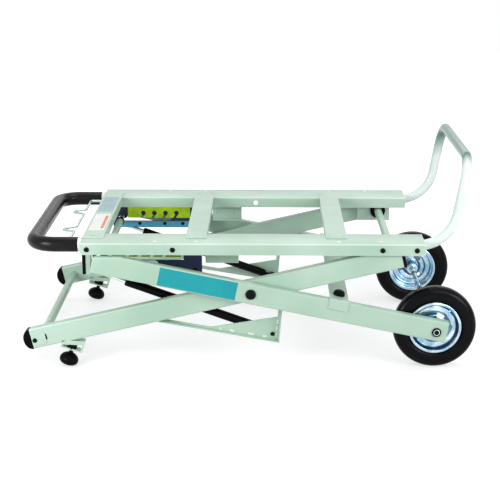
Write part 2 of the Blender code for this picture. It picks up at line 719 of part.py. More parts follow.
def outer_leg(side):
    """A box tube cut level under the rail, with a welded ear for the slide rod."""
    half = LEG_HIGH / 2
    cut_z = RAIL_LOW_Z - OUTER_CUT_DROP
    left_low = leg_point(OUTER_TURN, OUTER_LEFT, -half)
    rise = (cut_z - left_low[1]) / OUTER_COS
    end_top = leg_point(OUTER_TURN, OUTER_LEFT, rise - half)
    edge = leg_point(OUTER_TURN, OUTER_LEFT, half)
    cut_x = edge[0] + (cut_z - edge[1]) / math.tan(OUTER_TURN)
    low_top = leg_point(OUTER_TURN, OUTER_LEFT, rise - half - OUTER_CUT_CORNER)
    outline = [left_low, leg_point(OUTER_TURN, OUTER_RIGHT, -half),
               leg_point(OUTER_TURN, OUTER_RIGHT, half), (cut_x, cut_z),
               (end_top[0] + OUTER_CUT_CORNER, cut_z), low_top]
    bm = bmesh.new()
    prism(bm, outline, *span(side, OUTER_IN_Y, OUTER_OUT_Y))
    middle = side * (OUTER_IN_Y + OUTER_OUT_Y) / 2
    round_edges(bm, LEG_ROUND, 2, lambda item: along_leg(item, middle))
    obj = finish("outer_leg_" + side_name(side), bm, "pale_enamel")
    wall = LEG_WALL
    hollow = [leg_point(OUTER_TURN, OUTER_LEFT + wall, wall - half),
              leg_point(OUTER_TURN, OUTER_RIGHT + wall, wall - half),
              leg_point(OUTER_TURN, OUTER_RIGHT + wall, half - wall),
              (cut_x, cut_z - wall),
              (end_top[0] + OUTER_CUT_CORNER + wall, cut_z - wall)]
    inside = span(side, OUTER_IN_Y + wall, OUTER_OUT_Y - wall)
    tools = [tool(lambda bm: prism(bm, hollow, *inside))]
    through = span(side, OUTER_IN_Y - GAP, OUTER_OUT_Y + GAP)
    tools.append(hole_tool(PIVOT_X, PIVOT_Z, PIN_R + RUN, *through))
    tools.append(hole_tool(WHEEL_X, WHEEL_R, AXLE_R + RUN, *through))
    cut(obj, tools)
    rounded = []
    for step in range(RING // 2 + 1):
        angle = math.pi + math.pi * step / (RING // 2)
        rounded.append((ROD_X + EAR_HALF * math.cos(angle), ROD_Z + EAR_HALF * math.sin(angle)))
    rounded += [(ROD_X + EAR_HALF, ROD_Z + EAR_UP), (ROD_X - EAR_HALF, ROD_Z + EAR_UP)]
    ear = tool(lambda bm: prism(bm, rounded, *span(side, OUTER_IN_Y - EAR_THICK,
                                                   OUTER_IN_Y + wall / 2)))
    cut(obj, [ear], "UNION")
    seat = span(side, OUTER_IN_Y - EAR_THICK - GAP, OUTER_IN_Y + GAP)
    return soften(cut(obj, [hole_tool(ROD_X, ROD_Z, ROD_PIN_R + RUN, *seat)]), 32)


def along_leg(edge, middle):
    """True for an edge that lies in one side face of a leg."""
    start, stop = edge.verts
    same = abs(start.co.y - stop.co.y) < RUN
    return same and abs(start.co.y - middle) > RUN


def slide_rod():
    """The cross tube of the outer legs, with a thinner pin at each end."""
    end = OUTER_IN_Y
    bm = bmesh.new()
    spin(bm, [(-end, 0), (-end, ROD_PIN_R), (-ROD_TUBE_Y, ROD_PIN_R), (-ROD_TUBE_Y, ROD_TUBE_R),
              (ROD_TUBE_Y, ROD_TUBE_R), (ROD_TUBE_Y, ROD_PIN_R), (end, ROD_PIN_R), (end, 0)],
         RING, False, centre=(ROD_X, 0, ROD_Z))
    finish("slide_rod", bm, "pale_enamel", 40)


def leg_strap():
    """A flat plate across the outer legs, folded down over their outer faces."""
    low = LEG_HIGH / 2 + GAP
    top = low + STRAP_THICK
    reach = OUTER_OUT_Y + GAP
    edge = reach + STRAP_THICK
    outline = [(-edge, low - STRAP_TAB), (-reach, low - STRAP_TAB), (-reach, low), (reach, low),
               (reach, low - STRAP_TAB), (edge, low - STRAP_TAB), (edge, top), (-edge, top)]
    bm = bmesh.new()
    prism(bm, outline, STRAP_START, STRAP_STOP, "X")
    for vert in bm.verts:
        x, z = leg_point(OUTER_TURN, vert.co.x, vert.co.z)
        vert.co = (x, vert.co.y, z)
    finish("leg_strap", bm, "pale_enamel")


def strap_bumper(side):
    """A rubber bumper on the strap, below the inner leg."""
    rise = (-math.sin(OUTER_TURN), 0, OUTER_COS)
    foot = leg_point(OUTER_TURN, (STRAP_START + STRAP_STOP) / 2, LEG_HIGH / 2 + STRAP_THICK + 2 * GAP)
    profile = [(0, 0), (0, BUMPER_R), (BUMPER_HIGH / 2, BUMPER_R), (BUMPER_HIGH, BUMPER_TOP_R),
               (BUMPER_HIGH, 0)]
    bm = bmesh.new()
    spin(bm, profile, RING, False, rise, (foot[0], side * BUMPER_Y, foot[1]))
    finish("strap_bumper_" + side_name(side), bm, "black_rubber", 40)


def pivot_pin(side):
    """A main pivot pin with a nut, a washer and a domed head."""
    nut = INNER_IN_Y - GAP
    washer_in = INNER_OUT_Y + GAP
    washer_out = OUTER_IN_Y - GAP
    head = OUTER_OUT_Y + GAP
    profile = [(nut - PIN_NUT_HIGH, 0), (nut - PIN_NUT_HIGH, PIN_NUT_R), (nut, PIN_NUT_R),
               (nut, PIN_R), (washer_in, PIN_R), (washer_in, PIN_WASHER_R),
               (washer_out, PIN_WASHER_R), (washer_out, PIN_R), (head, PIN_R), (head, PIN_CAP_R),
               (head + PIN_CAP_HIGH / 2, PIN_CAP_R), (head + PIN_CAP_HIGH, PIN_CAP_R / 2),
               (head + PIN_CAP_HIGH, 0)]
    turned("pivot_pin", side, profile, "black_steel", False, (PIVOT_X, PIVOT_Z))


def axle():
    """The bar through both wheels and both outer legs."""
    bm = bmesh.new()
    spin(bm, rod_profile(-OUTER_OUT_Y, OUTER_OUT_Y, AXLE_R), RING, False,
         centre=(WHEEL_X, 0, WHEEL_R))
    finish("axle", bm, "zinc_plate", 40)


def axle_nut(side):
    """A black cap nut on one end of the axle."""
    start = OUTER_OUT_Y + GAP
    profile = [(start, 0), (start, NUT_R), (start + NUT_HIGH / 2, NUT_R),
               (start + NUT_HIGH / 2, AXLE_R), (start + NUT_HIGH, AXLE_R * 3 / 4),
               (start + NUT_HIGH, 0)]
    turned("axle_nut", side, profile, "black_steel", False, (WHEEL_X, WHEEL_R))


def rim_slot(bm, turn, y0, y1):
    """An oval hole through a rim, turned about the axle."""
    middle = WHEEL_R + RIM_HOLE_RING
    stadium(bm, WHEEL_X - RIM_HOLE_LONG / 2, WHEEL_X + RIM_HOLE_LONG / 2, middle - RIM_HOLE_HALF,
            middle + RIM_HOLE_HALF, y0, y1)
    bmesh.ops.rotate(bm, verts=bm.verts, cent=(WHEEL_X, 0, WHEEL_R),
                     matrix=Matrix.Rotation(turn, 3, "Y"))


def wheel(side):
    """Tyre, pressed rim and hub of one wheel."""
    middle = side * WHEEL_Y
    place = (WHEEL_X, middle, WHEEL_R)
    half = [(TYRE_BEAD_HALF, TYRE_SEAT_R), (TYRE_BEAD_HALF, TYRE_BEAD_R),
            (TYRE_HALF - GAP, (TYRE_BEAD_R + TYRE_WIDE_R) / 2), (TYRE_HALF, TYRE_WIDE_R),
            (TYRE_HALF, (TYRE_WIDE_R + TYRE_SHOULDER_R) / 2), (TYRE_SHOULDER_HALF, TYRE_SHOULDER_R),
            (TREAD_HALF, TREAD_EDGE_R), (0, WHEEL_R)]
    loop = half + [(-along, radius) for along, radius in reversed(half[:-1])]
    bm = bmesh.new()
    spin(bm, loop, FINE_RING, True, centre=place)
    finish("tyre_" + side_name(side), bm, "black_rubber", 50)

    barrel = TYRE_SEAT_R - GAP
    under = barrel - RIM_WALL
    web = RIM_WALL / 2
    dish = RIM_DISH
    lip = RIM_HALF - RIM_WALL
    rise = (under + RIM_HUB_R) / 2
    outline = [(RIM_HALF, under), (RIM_HALF, RIM_FLANGE_R), (lip, RIM_FLANGE_R), (lip, barrel),
               (-lip, barrel), (-lip, RIM_FLANGE_R), (-RIM_HALF, RIM_FLANGE_R), (-RIM_HALF, under),
               (-web, under), (dish - web, rise + RIM_DISH), (dish - web, rise - RIM_DISH),
               (-web, RIM_HUB_R), (-web, HUB_R + GAP), (web, HUB_R + GAP), (web, RIM_HUB_R),
               (dish + web, rise - RIM_DISH), (dish + web, rise + RIM_DISH), (web, under)]
    bm = bmesh.new()
    spin(bm, [(side * y, r) for y, r in outline], FINE_RING, True, centre=place)
    rim = finish("rim_" + side_name(side), bm, "zinc_plate")
    tools = []
    for index in range(RIM_HOLES):
        turn = math.tau * index / RIM_HOLES + math.radians(RIM_HOLE_DEG)
        tools.append(tool(lambda bm: rim_slot(bm, turn, middle - RIM_HALF, middle + RIM_HALF)))
    soften(cut(rim, tools), 40)

    bm = bmesh.new()
    bore = AXLE_R + RUN
    ring = [(-HUB_HALF, bore), (-HUB_HALF, HUB_R), (HUB_HALF, HUB_R), (HUB_HALF, bore)]
    spin(bm, ring, RING, True, centre=place)
    finish("hub_" + side_name(side), bm, "zinc_plate", 40)


def inner_leg(side):
    """An open box tube."""
    half = LEG_HIGH / 2
    bm = bmesh.new()
    leg_box(bm, INNER_TURN, INNER_LEFT, INNER_RIGHT, -half, half, *span(side, INNER_IN_Y, INNER_OUT_Y))
    middle = side * (INNER_IN_Y + INNER_OUT_Y) / 2
    long_edge = (INNER_RIGHT - INNER_LEFT) / 2
    round_edges(bm, LEG_ROUND, 2, lambda item: along_leg(item, middle)
                and item.calc_length() > long_edge)
    obj = finish("inner_leg_" + side_name(side), bm, "pale_enamel")
    wall = LEG_WALL
    inside = span(side, INNER_IN_Y + wall, INNER_OUT_Y - wall)
    tools = [tool(lambda bm: leg_box(bm, INNER_TURN, INNER_LEFT - wall, INNER_RIGHT + wall,
                                     wall - half, half - wall, *inside))]
    through = span(side, INNER_IN_Y - GAP, INNER_OUT_Y + GAP)
    tools.append(hole_tool(PIVOT_X, PIVOT_Z, PIN_R + RUN, *through))
    return soften(cut(obj, tools), 32)


def leg_cap(name, side, end, outward, thick, rounding):
    """A black end cap that plugs an inner leg."""
    half = LEG_HIGH / 2
    room = half - LEG_WALL - GAP
    start = end + outward * GAP
    stop = start + outward * thick
    bm = bmesh.new()
    leg_box(bm, INNER_TURN, min(start, stop), max(start, stop), -half, half,
            *span(side, INNER_IN_Y, INNER_OUT_Y))
    along = Vector((INNER_COS, 0, math.sin(INNER_TURN)))
    tip = leg_point(INNER_TURN, stop, 0)
    origin = Vector((tip[0], 0, tip[1]))
    round_edges(bm, rounding, 3, lambda item: all(
        abs((vert.co - origin).dot(along)) < RUN for vert in item.verts))
    obj = finish(name + "_" + side_name(side), bm, "black_plastic")
    ends = (end - outward * CAP_PLUG, start + outward * thick / 2)
    width = span(side, INNER_IN_Y + LEG_WALL + GAP, INNER_OUT_Y - LEG_WALL - GAP)
    plug = tool(lambda bm: leg_box(bm, INNER_TURN, min(ends), max(ends), -room, room, *width))
    return soften(cut(obj, [plug], "UNION"), 32)


def cross_tube(name, x, z, radius):
    """A round tube welded between the inner legs."""
    end = INNER_IN_Y - GAP
    bore = radius - SHAFT_WALL
    bm = bmesh.new()
    spin(bm, [(-end, bore), (-end, radius), (end, radius), (end, bore)], RING, True,
         centre=(x, 0, z))
    finish(name, bm, "pale_enamel", 40)


def strut_low(x):
    """Height of the gusset's lower edge at x."""
    return inner_low(GUS_BASE_X) - GUS_BASE_DROP + GUS_SLOPE * (x - GUS_BASE_X)


def foot_bracket(side):
    """A level seat for a foot, folded from sheet under the inner leg."""
    x0 = FOOT_X - FOOT_BRACKET_HALF
    x1 = FOOT_X + FOOT_BRACKET_HALF
    outline = [(x0, FOOT_PLATE_Z), (x1, FOOT_PLATE_Z), (x1, inner_low(x1) - GAP),
               (x0, inner_low(x0) - GAP)]
    bm = bmesh.new()
    prism(bm, outline, *span(side, INNER_IN_Y, INNER_OUT_Y))
    obj = finish("foot_bracket_" + side_name(side), bm, "pale_enamel")
    inside = span(side, INNER_IN_Y + FOOT_CHEEK, INNER_OUT_Y - FOOT_CHEEK)
    return cut(obj, [tool(lambda bm: box(bm, x0 - GAP, x1 + GAP, *inside,
                                         FOOT_PLATE_Z + FOOT_PLATE_THICK, inner_low(x1)))])


def foot_pad(side):
    """A round rubber foot on a short stud."""
    middle = side * (INNER_IN_Y + INNER_OUT_Y) / 2
    edge = FOOT_PAD_HIGH / 5
    profile = [(0, 0), (0, FOOT_PAD_R - edge), (edge, FOOT_PAD_R), (FOOT_PAD_HIGH - edge, FOOT_PAD_R),
               (FOOT_PAD_HIGH, FOOT_PAD_R - edge), (FOOT_DOME_Z, FOOT_DOME_R),
               (FOOT_DOME_Z, FOOT_STUD_R), (FOOT_PLATE_Z - GAP, FOOT_STUD_R), (FOOT_PLATE_Z - GAP, 0)]
    bm = bmesh.new()
    spin(bm, profile, RING, False, (0, 0, 1), (FOOT_X, middle, 0))
    finish("foot_pad_" + side_name(side), bm, "black_rubber", 40)


def spring_pin(side):
    """A pin that holds the lower eye of a gas spring on the gusset."""
    head = INNER_IN_Y + GAP
    inner = SPRING_Y - SPRING_EYE_WIDE / 2 - GAP
    profile = [(inner - SPRING_HEAD_HIGH / 2, 0), (inner - SPRING_HEAD_HIGH / 2, SPRING_HEAD_R),
               (inner, SPRING_HEAD_R), (inner, SPRING_PIN_R), (head, SPRING_PIN_R),
               (head, SPRING_HEAD_R), (head + SPRING_HEAD_HIGH, SPRING_HEAD_R * 2 / 3),
               (head + SPRING_HEAD_HIGH, 0)]
    turned("spring_pin", side, profile, "black_steel", False, (SPRING_PIN_X, SPRING_PIN_Z))


def gusset(side):
    """A pressed gusset with a folded lower and right edge, open in the middle."""
    lap = GUS_LAP
    right_z = inner_low(GUS_RIGHT_X)
    corner_z = strut_low(GUS_CORNER_X)
    outline = [(GUS_LEFT_X, inner_low(GUS_LEFT_X) + GAP), (GUS_CORNER_X, corner_z),
               (GUS_RIGHT_X, right_z), (GUS_RIGHT_X, right_z + lap),
               (GUS_LEFT_X, inner_low(GUS_LEFT_X) + lap)]
    web_y = span(side, GUS_WEB_IN, INNER_IN_Y - GAP)
    bm = bmesh.new()
    prism(bm, outline, *web_y)
    obj = finish("gusset_" + side_name(side), bm, "pale_enamel")

    thick = BRACKET_THICK
    flange_y = span(side, GUS_WEB_IN, GUS_FLANGE_Y)
    lower = [(GUS_FLANGE_START, strut_low(GUS_FLANGE_START)), (GUS_CORNER_X, corner_z),
             (GUS_CORNER_X, corner_z + thick), (GUS_FLANGE_START, strut_low(GUS_FLANGE_START) + thick)]
    lean = (GUS_RIGHT_X - GUS_CORNER_X) / (right_z - corner_z)
    top_z = right_z - thick
    top_x = GUS_CORNER_X + lean * (top_z - corner_z)
    upright = [(GUS_CORNER_X - thick, corner_z), (GUS_CORNER_X, corner_z), (top_x, top_z),
               (top_x - thick, top_z)]
    parts = [tool(lambda bm, shape=shape: prism(bm, shape, *flange_y)) for shape in (lower, upright)]
    cut(obj, parts, "UNION")

    strut = GUS_STRUT
    meet = (strut - GUS_BASE_DROP) / (math.tan(INNER_TURN) - GUS_SLOPE)
    left_x = GUS_BASE_X + meet
    edge_x = GUS_RIGHT_X - GUS_RIGHT_STRIP
    opening = [(left_x, strut_low(left_x) + strut), (GUS_WEB_X, strut_low(GUS_WEB_X) + strut),
               (GUS_WEB_RIGHT_X, GUS_WEB_RIGHT_Z), (edge_x, inner_low(edge_x))]
    wide = (web_y[0] - GAP, web_y[1] + GAP)
    tools = [tool(lambda bm: prism(bm, opening, *wide)),
             hole_tool(SPRING_PIN_X, SPRING_PIN_Z, SPRING_PIN_R + RUN, *wide)]
    return cut(obj, tools)


def spring_frame():
    """Direction, length and place of a gas spring in its plane."""
    foot = Vector((SPRING_PIN_X, 0, SPRING_PIN_Z))
    top = Vector((ANCHOR_X, 0, ANCHOR_Z))
    run = top - foot
    return foot, run.normalized(), run.length


def gas_cylinder(side):
    """The black body of a gas spring, bored for its rod, with its lower eye."""
    foot, run, length = spring_frame()
    base = (foot.x, side * SPRING_Y, foot.z)
    bore = PISTON_R + HOLE_EASE
    mouth = length - ROD_SHOWN
    bottom = length - PISTON_LONG - BORE_ROOM
    neck = SPRING_EYE_R - GUIDE_THICK
    profile = [(neck, 0), (neck, SPRING_NECK_R), (CYL_START, SPRING_NECK_R), (CYL_START, CYL_R),
               (mouth, CYL_R), (mouth, bore), (bottom, bore), (bottom, 0)]
    bm = bmesh.new()
    spin(bm, profile, RING, False, run, base)
    obj = finish("gas_cylinder_" + side_name(side), bm, "black_steel")
    half = SPRING_EYE_WIDE / 2
    hole = SPRING_PIN_R + RUN
    outline = [(-half, hole), (-half, SPRING_EYE_R), (half, SPRING_EYE_R), (half, hole)]
    eye = tool(lambda bm: spin(bm, outline, RING, True, centre=base))
    return soften(cut(obj, [eye], "UNION"), 40)


def gas_rod(side):
    """The bright rod of a gas spring with its upper eye and stub pin."""
    foot, run, length = spring_frame()
    base = (foot.x, side * SPRING_Y, foot.z)
    top = foot + run * length
    bm = bmesh.new()
    spin(bm, rod_profile(length - PISTON_LONG, length - ROD_EYE_R + GUIDE_THICK / 2, PISTON_R), RING,
         False, run, base)
    obj = finish("gas_rod_" + side_name(side), bm, "zinc_plate")
    half = ROD_EYE_WIDE / 2
    eye = tool(lambda bm: spin(bm, rod_profile(-half, half, ROD_EYE_R), RING, False,
                               centre=(top.x, side * SPRING_Y, top.z)))
    return soften(cut(obj, [eye], "UNION"), 40)


def hang(names, x, z):
    """Put the origins of moving pieces on their joint's axis, under one empty."""
    pivot = Vector((x, 0, z))
    axis = bpy.data.objects.new(names[0] + "_axis", None)
    bpy.context.scene.collection.objects.link(axis)
    axis.location = pivot
    for name in names:
        obj = bpy.data.objects[name]
        obj.data.transform(Matrix.Translation(-pivot))
        obj.parent = axis


def centre_on_origin():
    """Slide the whole stand so that its length is centred on the origin."""
    bpy.context.view_layer.update()
    spread = [(item.matrix_world @ vert.co).x for item in bpy.data.objects if item.type == "MESH"
              for vert in item.data.vertices]
    middle = (min(spread) + max(spread)) / 2
    for item in bpy.data.objects:
        if item.parent is None:
            item.location.x -= middle


def both(*names):
    """The near and far node names of paired pieces."""
    return [name + "_" + side_name(side) for name in names for side in SIDES]


def main():
    """Clear the scene and build every piece."""
    for item in list(bpy.data.objects):
        bpy.data.objects.remove(item, do_unlink=True)
    MATS.update(make_materials())
    bridge_plate("end_plate", RAIL_LEFT, RAIL_LEFT + END_PLATE_WIDE, END_FLANGE, False)
    for name, middle in (("cross_plate_left", CROSS_LEFT_X), ("cross_plate_right", CROSS_RIGHT_X)):
        bridge_plate(name, middle - CROSS_WIDE / 2, middle + CROSS_WIDE / 2, PLATE_FLANGE, True)
    handles()
    release_lever()
    slide_rod()
    leg_strap()
    axle()
    cross_tube("table_shaft", SHAFT_X, SHAFT_Z, SHAFT_R)
    cross_tube("foot_cross_tube", *leg_point(INNER_TURN, INNER_LEFT + FOOT_TUBE_IN, 0), FOOT_TUBE_R)
    shaft_hole = [(SHAFT_X, SHAFT_Z, SHAFT_R + HOLE_EASE)]
    shaft_stop = SHAFT_BRACKET_Y - GAP
    bush_stop = OUTER_IN_Y - GAP - EAR_THICK
    for side in SIDES:
        word = side_name(side)
        rail(side)
        slide_guide(side)
        lock_plate(side)
        hung_bracket("stay_bracket_" + word, side, STAY_LEFT, STAY_LEFT + STAY_LONG,
                     STAY_LOW, STAY_Y, True, [])
        hung_bracket("shaft_bracket_" + word, side, SHAFT_X - SHAFT_BRACKET_BACK,
                     SHAFT_X + SHAFT_BRACKET_AHEAD, SHAFT_BRACKET_LOW, SHAFT_BRACKET_Y, False, shaft_hole)
        ring("shaft_bush", side, shaft_stop - SHAFT_BUSH_WIDE, shaft_stop, SHAFT_R + HOLE_EASE,
             SHAFT_BUSH_R, (SHAFT_X, SHAFT_Z))
        spring_anchor(side)
        outer_leg(side)
        ring("slide_bush", side, bush_stop - BUSH_WIDE, bush_stop, ROD_PIN_R + RUN, BUSH_R,
             (ROD_X, ROD_Z))
        strap_bumper(side)
        pivot_pin(side)
        axle_nut(side)
        wheel(side)
        inner_leg(side)
        leg_cap("foot_cap", side, INNER_LEFT, -1, CAP_THICK, CAP_ROUND)
        leg_cap("top_cap", side, INNER_RIGHT, 1, TOP_CAP_THICK, CAP_ROUND / 2)
        foot_bracket(side)
        foot_pad(side)
        gusset(side)
        spring_pin(side)
        gas_cylinder(side)
        gas_rod(side)
        hang(["%s_%s" % (name, word) for name in ("hub", "rim", "tyre")], WHEEL_X, WHEEL_R)
    hang(both("inner_leg", "foot_cap", "top_cap", "foot_bracket", "foot_pad", "gusset",
              "spring_pin") + ["table_shaft", "foot_cross_tube"], PIVOT_X, PIVOT_Z)
    hang(both("gas_cylinder"), SPRING_PIN_X, SPRING_PIN_Z)
    hang(both("gas_rod"), ANCHOR_X, ANCHOR_Z)
    hang(["release_lever"], WIRE_PIVOT_X, WIRE_PIVOT_Z)
    hang(both("slide_guide", "lock_plate", "stay_bracket", "shaft_bracket", "shaft_bush",
              "spring_anchor") + ["near_rail", "far_rail", "end_plate", "cross_plate_left",
                                  "cross_plate_right", "foot_end_handle", "foam_grip",
                                  "wheel_end_handle"], SHAFT_X, SHAFT_Z)
    centre_on_origin()


main()
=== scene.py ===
"""The looks of a folding wheeled saw stand: enamelled sheet steel, zinc, rubber and foam."""
import json
import math
import bpy
from mathutils import Matrix, Vector

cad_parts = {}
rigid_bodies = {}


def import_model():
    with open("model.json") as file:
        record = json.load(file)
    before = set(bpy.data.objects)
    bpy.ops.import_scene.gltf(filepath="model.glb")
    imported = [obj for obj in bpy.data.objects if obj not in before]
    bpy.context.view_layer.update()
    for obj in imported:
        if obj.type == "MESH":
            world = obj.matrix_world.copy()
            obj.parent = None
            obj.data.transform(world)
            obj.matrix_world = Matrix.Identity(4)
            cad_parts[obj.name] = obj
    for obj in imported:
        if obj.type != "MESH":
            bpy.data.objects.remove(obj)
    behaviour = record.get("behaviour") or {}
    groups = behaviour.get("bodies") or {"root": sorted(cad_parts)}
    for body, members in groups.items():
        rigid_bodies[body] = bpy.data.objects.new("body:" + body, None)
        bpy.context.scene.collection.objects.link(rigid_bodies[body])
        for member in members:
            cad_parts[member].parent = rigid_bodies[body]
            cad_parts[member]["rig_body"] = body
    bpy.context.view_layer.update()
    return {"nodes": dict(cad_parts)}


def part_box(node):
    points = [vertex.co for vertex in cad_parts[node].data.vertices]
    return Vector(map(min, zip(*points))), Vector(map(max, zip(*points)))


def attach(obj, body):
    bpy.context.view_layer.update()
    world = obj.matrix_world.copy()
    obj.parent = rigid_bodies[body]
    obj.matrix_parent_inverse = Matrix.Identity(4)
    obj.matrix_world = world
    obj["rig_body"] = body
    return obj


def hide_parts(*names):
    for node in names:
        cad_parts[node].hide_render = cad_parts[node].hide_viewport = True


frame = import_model()
MM = 0.001
SIDES = (-1, 1)


def middle_of(node):
    """The middle of a frame node's box."""
    low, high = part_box(node)
    return (low + high) / 2


# the table's rails and plates, and the height of the handles' arms in the rails
RAIL_LOW, RAIL_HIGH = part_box("near_rail")
MIDDLE = (RAIL_LOW.x + RAIL_HIGH.x) / 2
RAIL_LEFT = RAIL_LOW.x
RAIL_RIGHT = RAIL_HIGH.x
RAIL_OUT = -RAIL_LOW.y
RAIL_TOP = RAIL_HIGH.z
PLATE_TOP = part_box("end_plate")[1].z
ARM_Z = middle_of("foot_end_handle").z
ARM_Y = 0.2357

# the legs: where they cross, how they lean, and half their depth
PIVOT = middle_of("pivot_pin_far") * Vector((1, 0, 1))
OUTER_TURN = math.radians(-11.5)
INNER_TURN = math.radians(13.2)
LEG_HALF = 25 * MM
# how far out the legs' faces are, where heads and nuts sit on the outer legs, and where the
# gussets' webs lie against the inner ones
OUTER_FACE_Y = 0.2995
HEAD_Y = 0.2998
INNER_FACE_Y = 0.273
INNER_MIDDLE_Y = 0.261
WEB_Y = 0.2487

# where the round nose of an inner leg starts, along the leg from the pivot
NOSE_START = -0.5393
# how far the folded stand's foot pads are tipped
FOOT_TIP = math.radians(17.0)


def linear(code):
    """A web colour as linear red, green, blue and alpha."""
    shares = [int(code[start:start + 2], 16) / 255 for start in (0, 2, 4)]
    flat = [s / 12.92 if s <= 0.04045 else ((s + 0.055) / 1.055) ** 2.4 for s in shares]
    return (*flat, 1.0)


def add(tree, kind, settings=None, sockets=None):
    """Add a node, set its options and fill or link its sockets."""
    node = tree.nodes.new(kind)
    for key, value in (settings or {}).items():
        setattr(node, key, value)
    for key, value in (sockets or {}).items():
        if isinstance(value, bpy.types.NodeSocket):
            tree.links.new(value, node.inputs[key])
        else:
            node.inputs[key].default_value = value
    return node


def patches(tree, place, pattern, low, high, start=0.3, stop=0.7):
    """Soft patches of a real size in millimetres: a value that wanders from low to high."""
    size_mm, detail, rough = pattern
    clouds = add(tree, "ShaderNodeTexNoise", None,
                 {"Vector": place, "Scale": 1000.0 / size_mm, "Detail": detail,
                  "Roughness": rough})
    return add(tree, "ShaderNodeMapRange", None,
               {"Value": clouds.outputs["Fac"], "From Min": start, "From Max": stop,
                "To Min": low, "To Max": high}).outputs["Result"]


def surface(name, tones, drift, gloss, relief=(), marks=None, painted_shade=None, **shader_values):
    """A surface: two tones in soft patches, marks and painted shade on them, uneven gloss, fine
    relief.

    A pattern is its size in millimetres, its detail and its roughness. Drift is a pattern and
    its two limits, gloss a pattern with the least and most roughness, and each relief a
    pattern, its depth in millimetres, its strength and how it is drawn out, if it is.
    """
    mat = bpy.data.materials.new(name)
    mat.use_nodes = True
    tree = mat.node_tree
    shader = tree.nodes["Principled BSDF"]
    for key, value in shader_values.items():
        shader.inputs[key.replace("_", " ")].default_value = value
    place = add(tree, "ShaderNodeTexCoord").outputs["Object"]

    pattern, start, stop = drift
    layers = [(patches(tree, place, pattern, 0.0, 1.0, start, stop), tones[1])]
    if marks:
        pattern, start, stop, most, tone = marks
        layers.append((patches(tree, place, pattern, 0.0, most, start, stop), tone))
    # a zone of painted shade, laid on in its own darker tone
    if painted_shade:
        zone, tone = painted_shade
        layers.append((zone(tree, place), tone))
    colour = linear(tones[0])
    for share, tone in layers:
        colour = add(tree, "ShaderNodeMix", {"data_type": "RGBA"},
                     {0: share, 6: colour, 7: linear(tone)}).outputs[2]
    tree.links.new(colour, shader.inputs["Base Color"])

    pattern, least, most = gloss
    tree.links.new(patches(tree, place, pattern, least, most), shader.inputs["Roughness"])

    under = None
    for (size_mm, detail, rough), depth_mm, strength, drawn in relief:
        where = place
        if drawn:
            where = add(tree, "ShaderNodeVectorMath", {"operation": "MULTIPLY"},
                        {0: place, 1: drawn}).outputs[0]
        height = add(tree, "ShaderNodeTexNoise", None,
                     {"Vector": where, "Scale": 1000.0 / size_mm, "Detail": detail,
                      "Roughness": rough})
        sockets = {"Height": height.outputs["Fac"], "Distance": depth_mm * MM,
                   "Strength": strength}
        if under:
            sockets["Normal"] = under
        under = add(tree, "ShaderNodeBump", None, sockets).outputs["Normal"]
    if under:
        tree.links.new(under, shader.inputs["Normal"])
    return mat


def enamel(name, light, dark, rough):
    """Enamel sprayed on pressed steel and baked: satin, never quite even, with a thin gloss.

    It has a slow drift of tone, handling marks a few millimetres long, orange peel about 2 mm
    wide and the press's faint waves.
    """
    return surface(
        name, (light, dark), drift=((160, 2.0, 0.55), 0.3, 0.7),
        marks=((5, 4.0, 0.7), 0.62, 0.78, 0.10, dark),
        gloss=((38, 5.0, 0.65), rough - 0.06, rough + 0.10),
        relief=(((2.2, 2.0, 0.55), 0.05, 0.25, None), ((14, 1.0, 0.55), 0.10, 0.10, None)),
        Metallic=0.0, Specular_IOR_Level=0.35, Coat_Weight=0.15, Coat_Roughness=0.18)


def lifting_bar_shade(tree, place):
    """How near a place is to the bar that hands lift by, at the wheel end, from 0 to 1: the zone
    of painted shade on the tube.
    """
    parts = add(tree, "ShaderNodeSeparateXYZ", None, {"Vector": place}).outputs
    high = add(tree, "ShaderNodeMapRange", None,
               {"Value": parts["Z"], "From Min": 0.415, "From Max": 0.480})
    across = add(tree, "ShaderNodeMapRange", None,
                 {"Value": parts["Y"], "From Min": -0.228, "From Max": -0.200})
    return add(tree, "ShaderNodeMath", {"operation": "MULTIPLY"},
               {0: high.outputs["Result"], 1: across.outputs["Result"]}).outputs[0]


def lacquered_tube():
    """Drawn steel tube under clear lacquer: nearly white, with long soft highlights.

    The bar that hands lift by is painted darker and greener, as painted shade.
    """
    rough = 0.20
    return surface(
        "lacquered_tube", ("e9f3ef", "dcebe5"), drift=((120, 2.0, 0.55), 0.3, 0.7),
        # the lifting bar painted darker and greener: painted shade
        painted_shade=(lifting_bar_shade, "5d8979"),
        gloss=((30, 3.0, 0.55), rough - 0.03, rough + 0.05),
        Metallic=0.0, Specular_IOR_Level=0.35, Coat_Weight=0.12, Coat_Roughness=0.10)


def plated(name, light, dark, rough, cloud_mm=22, streaks=0.0):
    """Zinc or chrome plate: bright mirror bands, faintly clouded, with a cool tint.

    Drawn wire has streaks along it. The real ones are 0.1 mm wide, too fine to show, so they
    are drawn 1.2 mm wide.
    """
    relief = [((3.0, 1.0, 0.55), 0.02, 0.05, None)]
    if streaks:
        relief.append(((1.2, 2.0, 0.55), 0.02, streaks, (0.04, 1.0, 1.0)))
    return surface(
        name, (light, dark), drift=((cloud_mm, 4.0, 0.6), 0.3, 0.7),
        gloss=((9, 3.0, 0.55), rough - 0.04, rough + 0.06), relief=relief, Metallic=1.0)


def yellow_zinc():
    """Yellow-passivated zinc on punched plate: half matt, in green and straw clouds."""
    return surface(
        "yellow_zinc", ("a9d006", "8fb60a"), drift=((26, 3.0, 0.55), 0.38, 0.62),
        marks=((11, 4.0, 0.55), 0.5, 0.75, 0.25, "d8dc58"),
        gloss=((6, 3.0, 0.55), 0.34, 0.5), relief=(((1.6, 3.0, 0.55), 0.03, 0.18, None),),
        Metallic=0.25, Specular_IOR_Level=0.4)


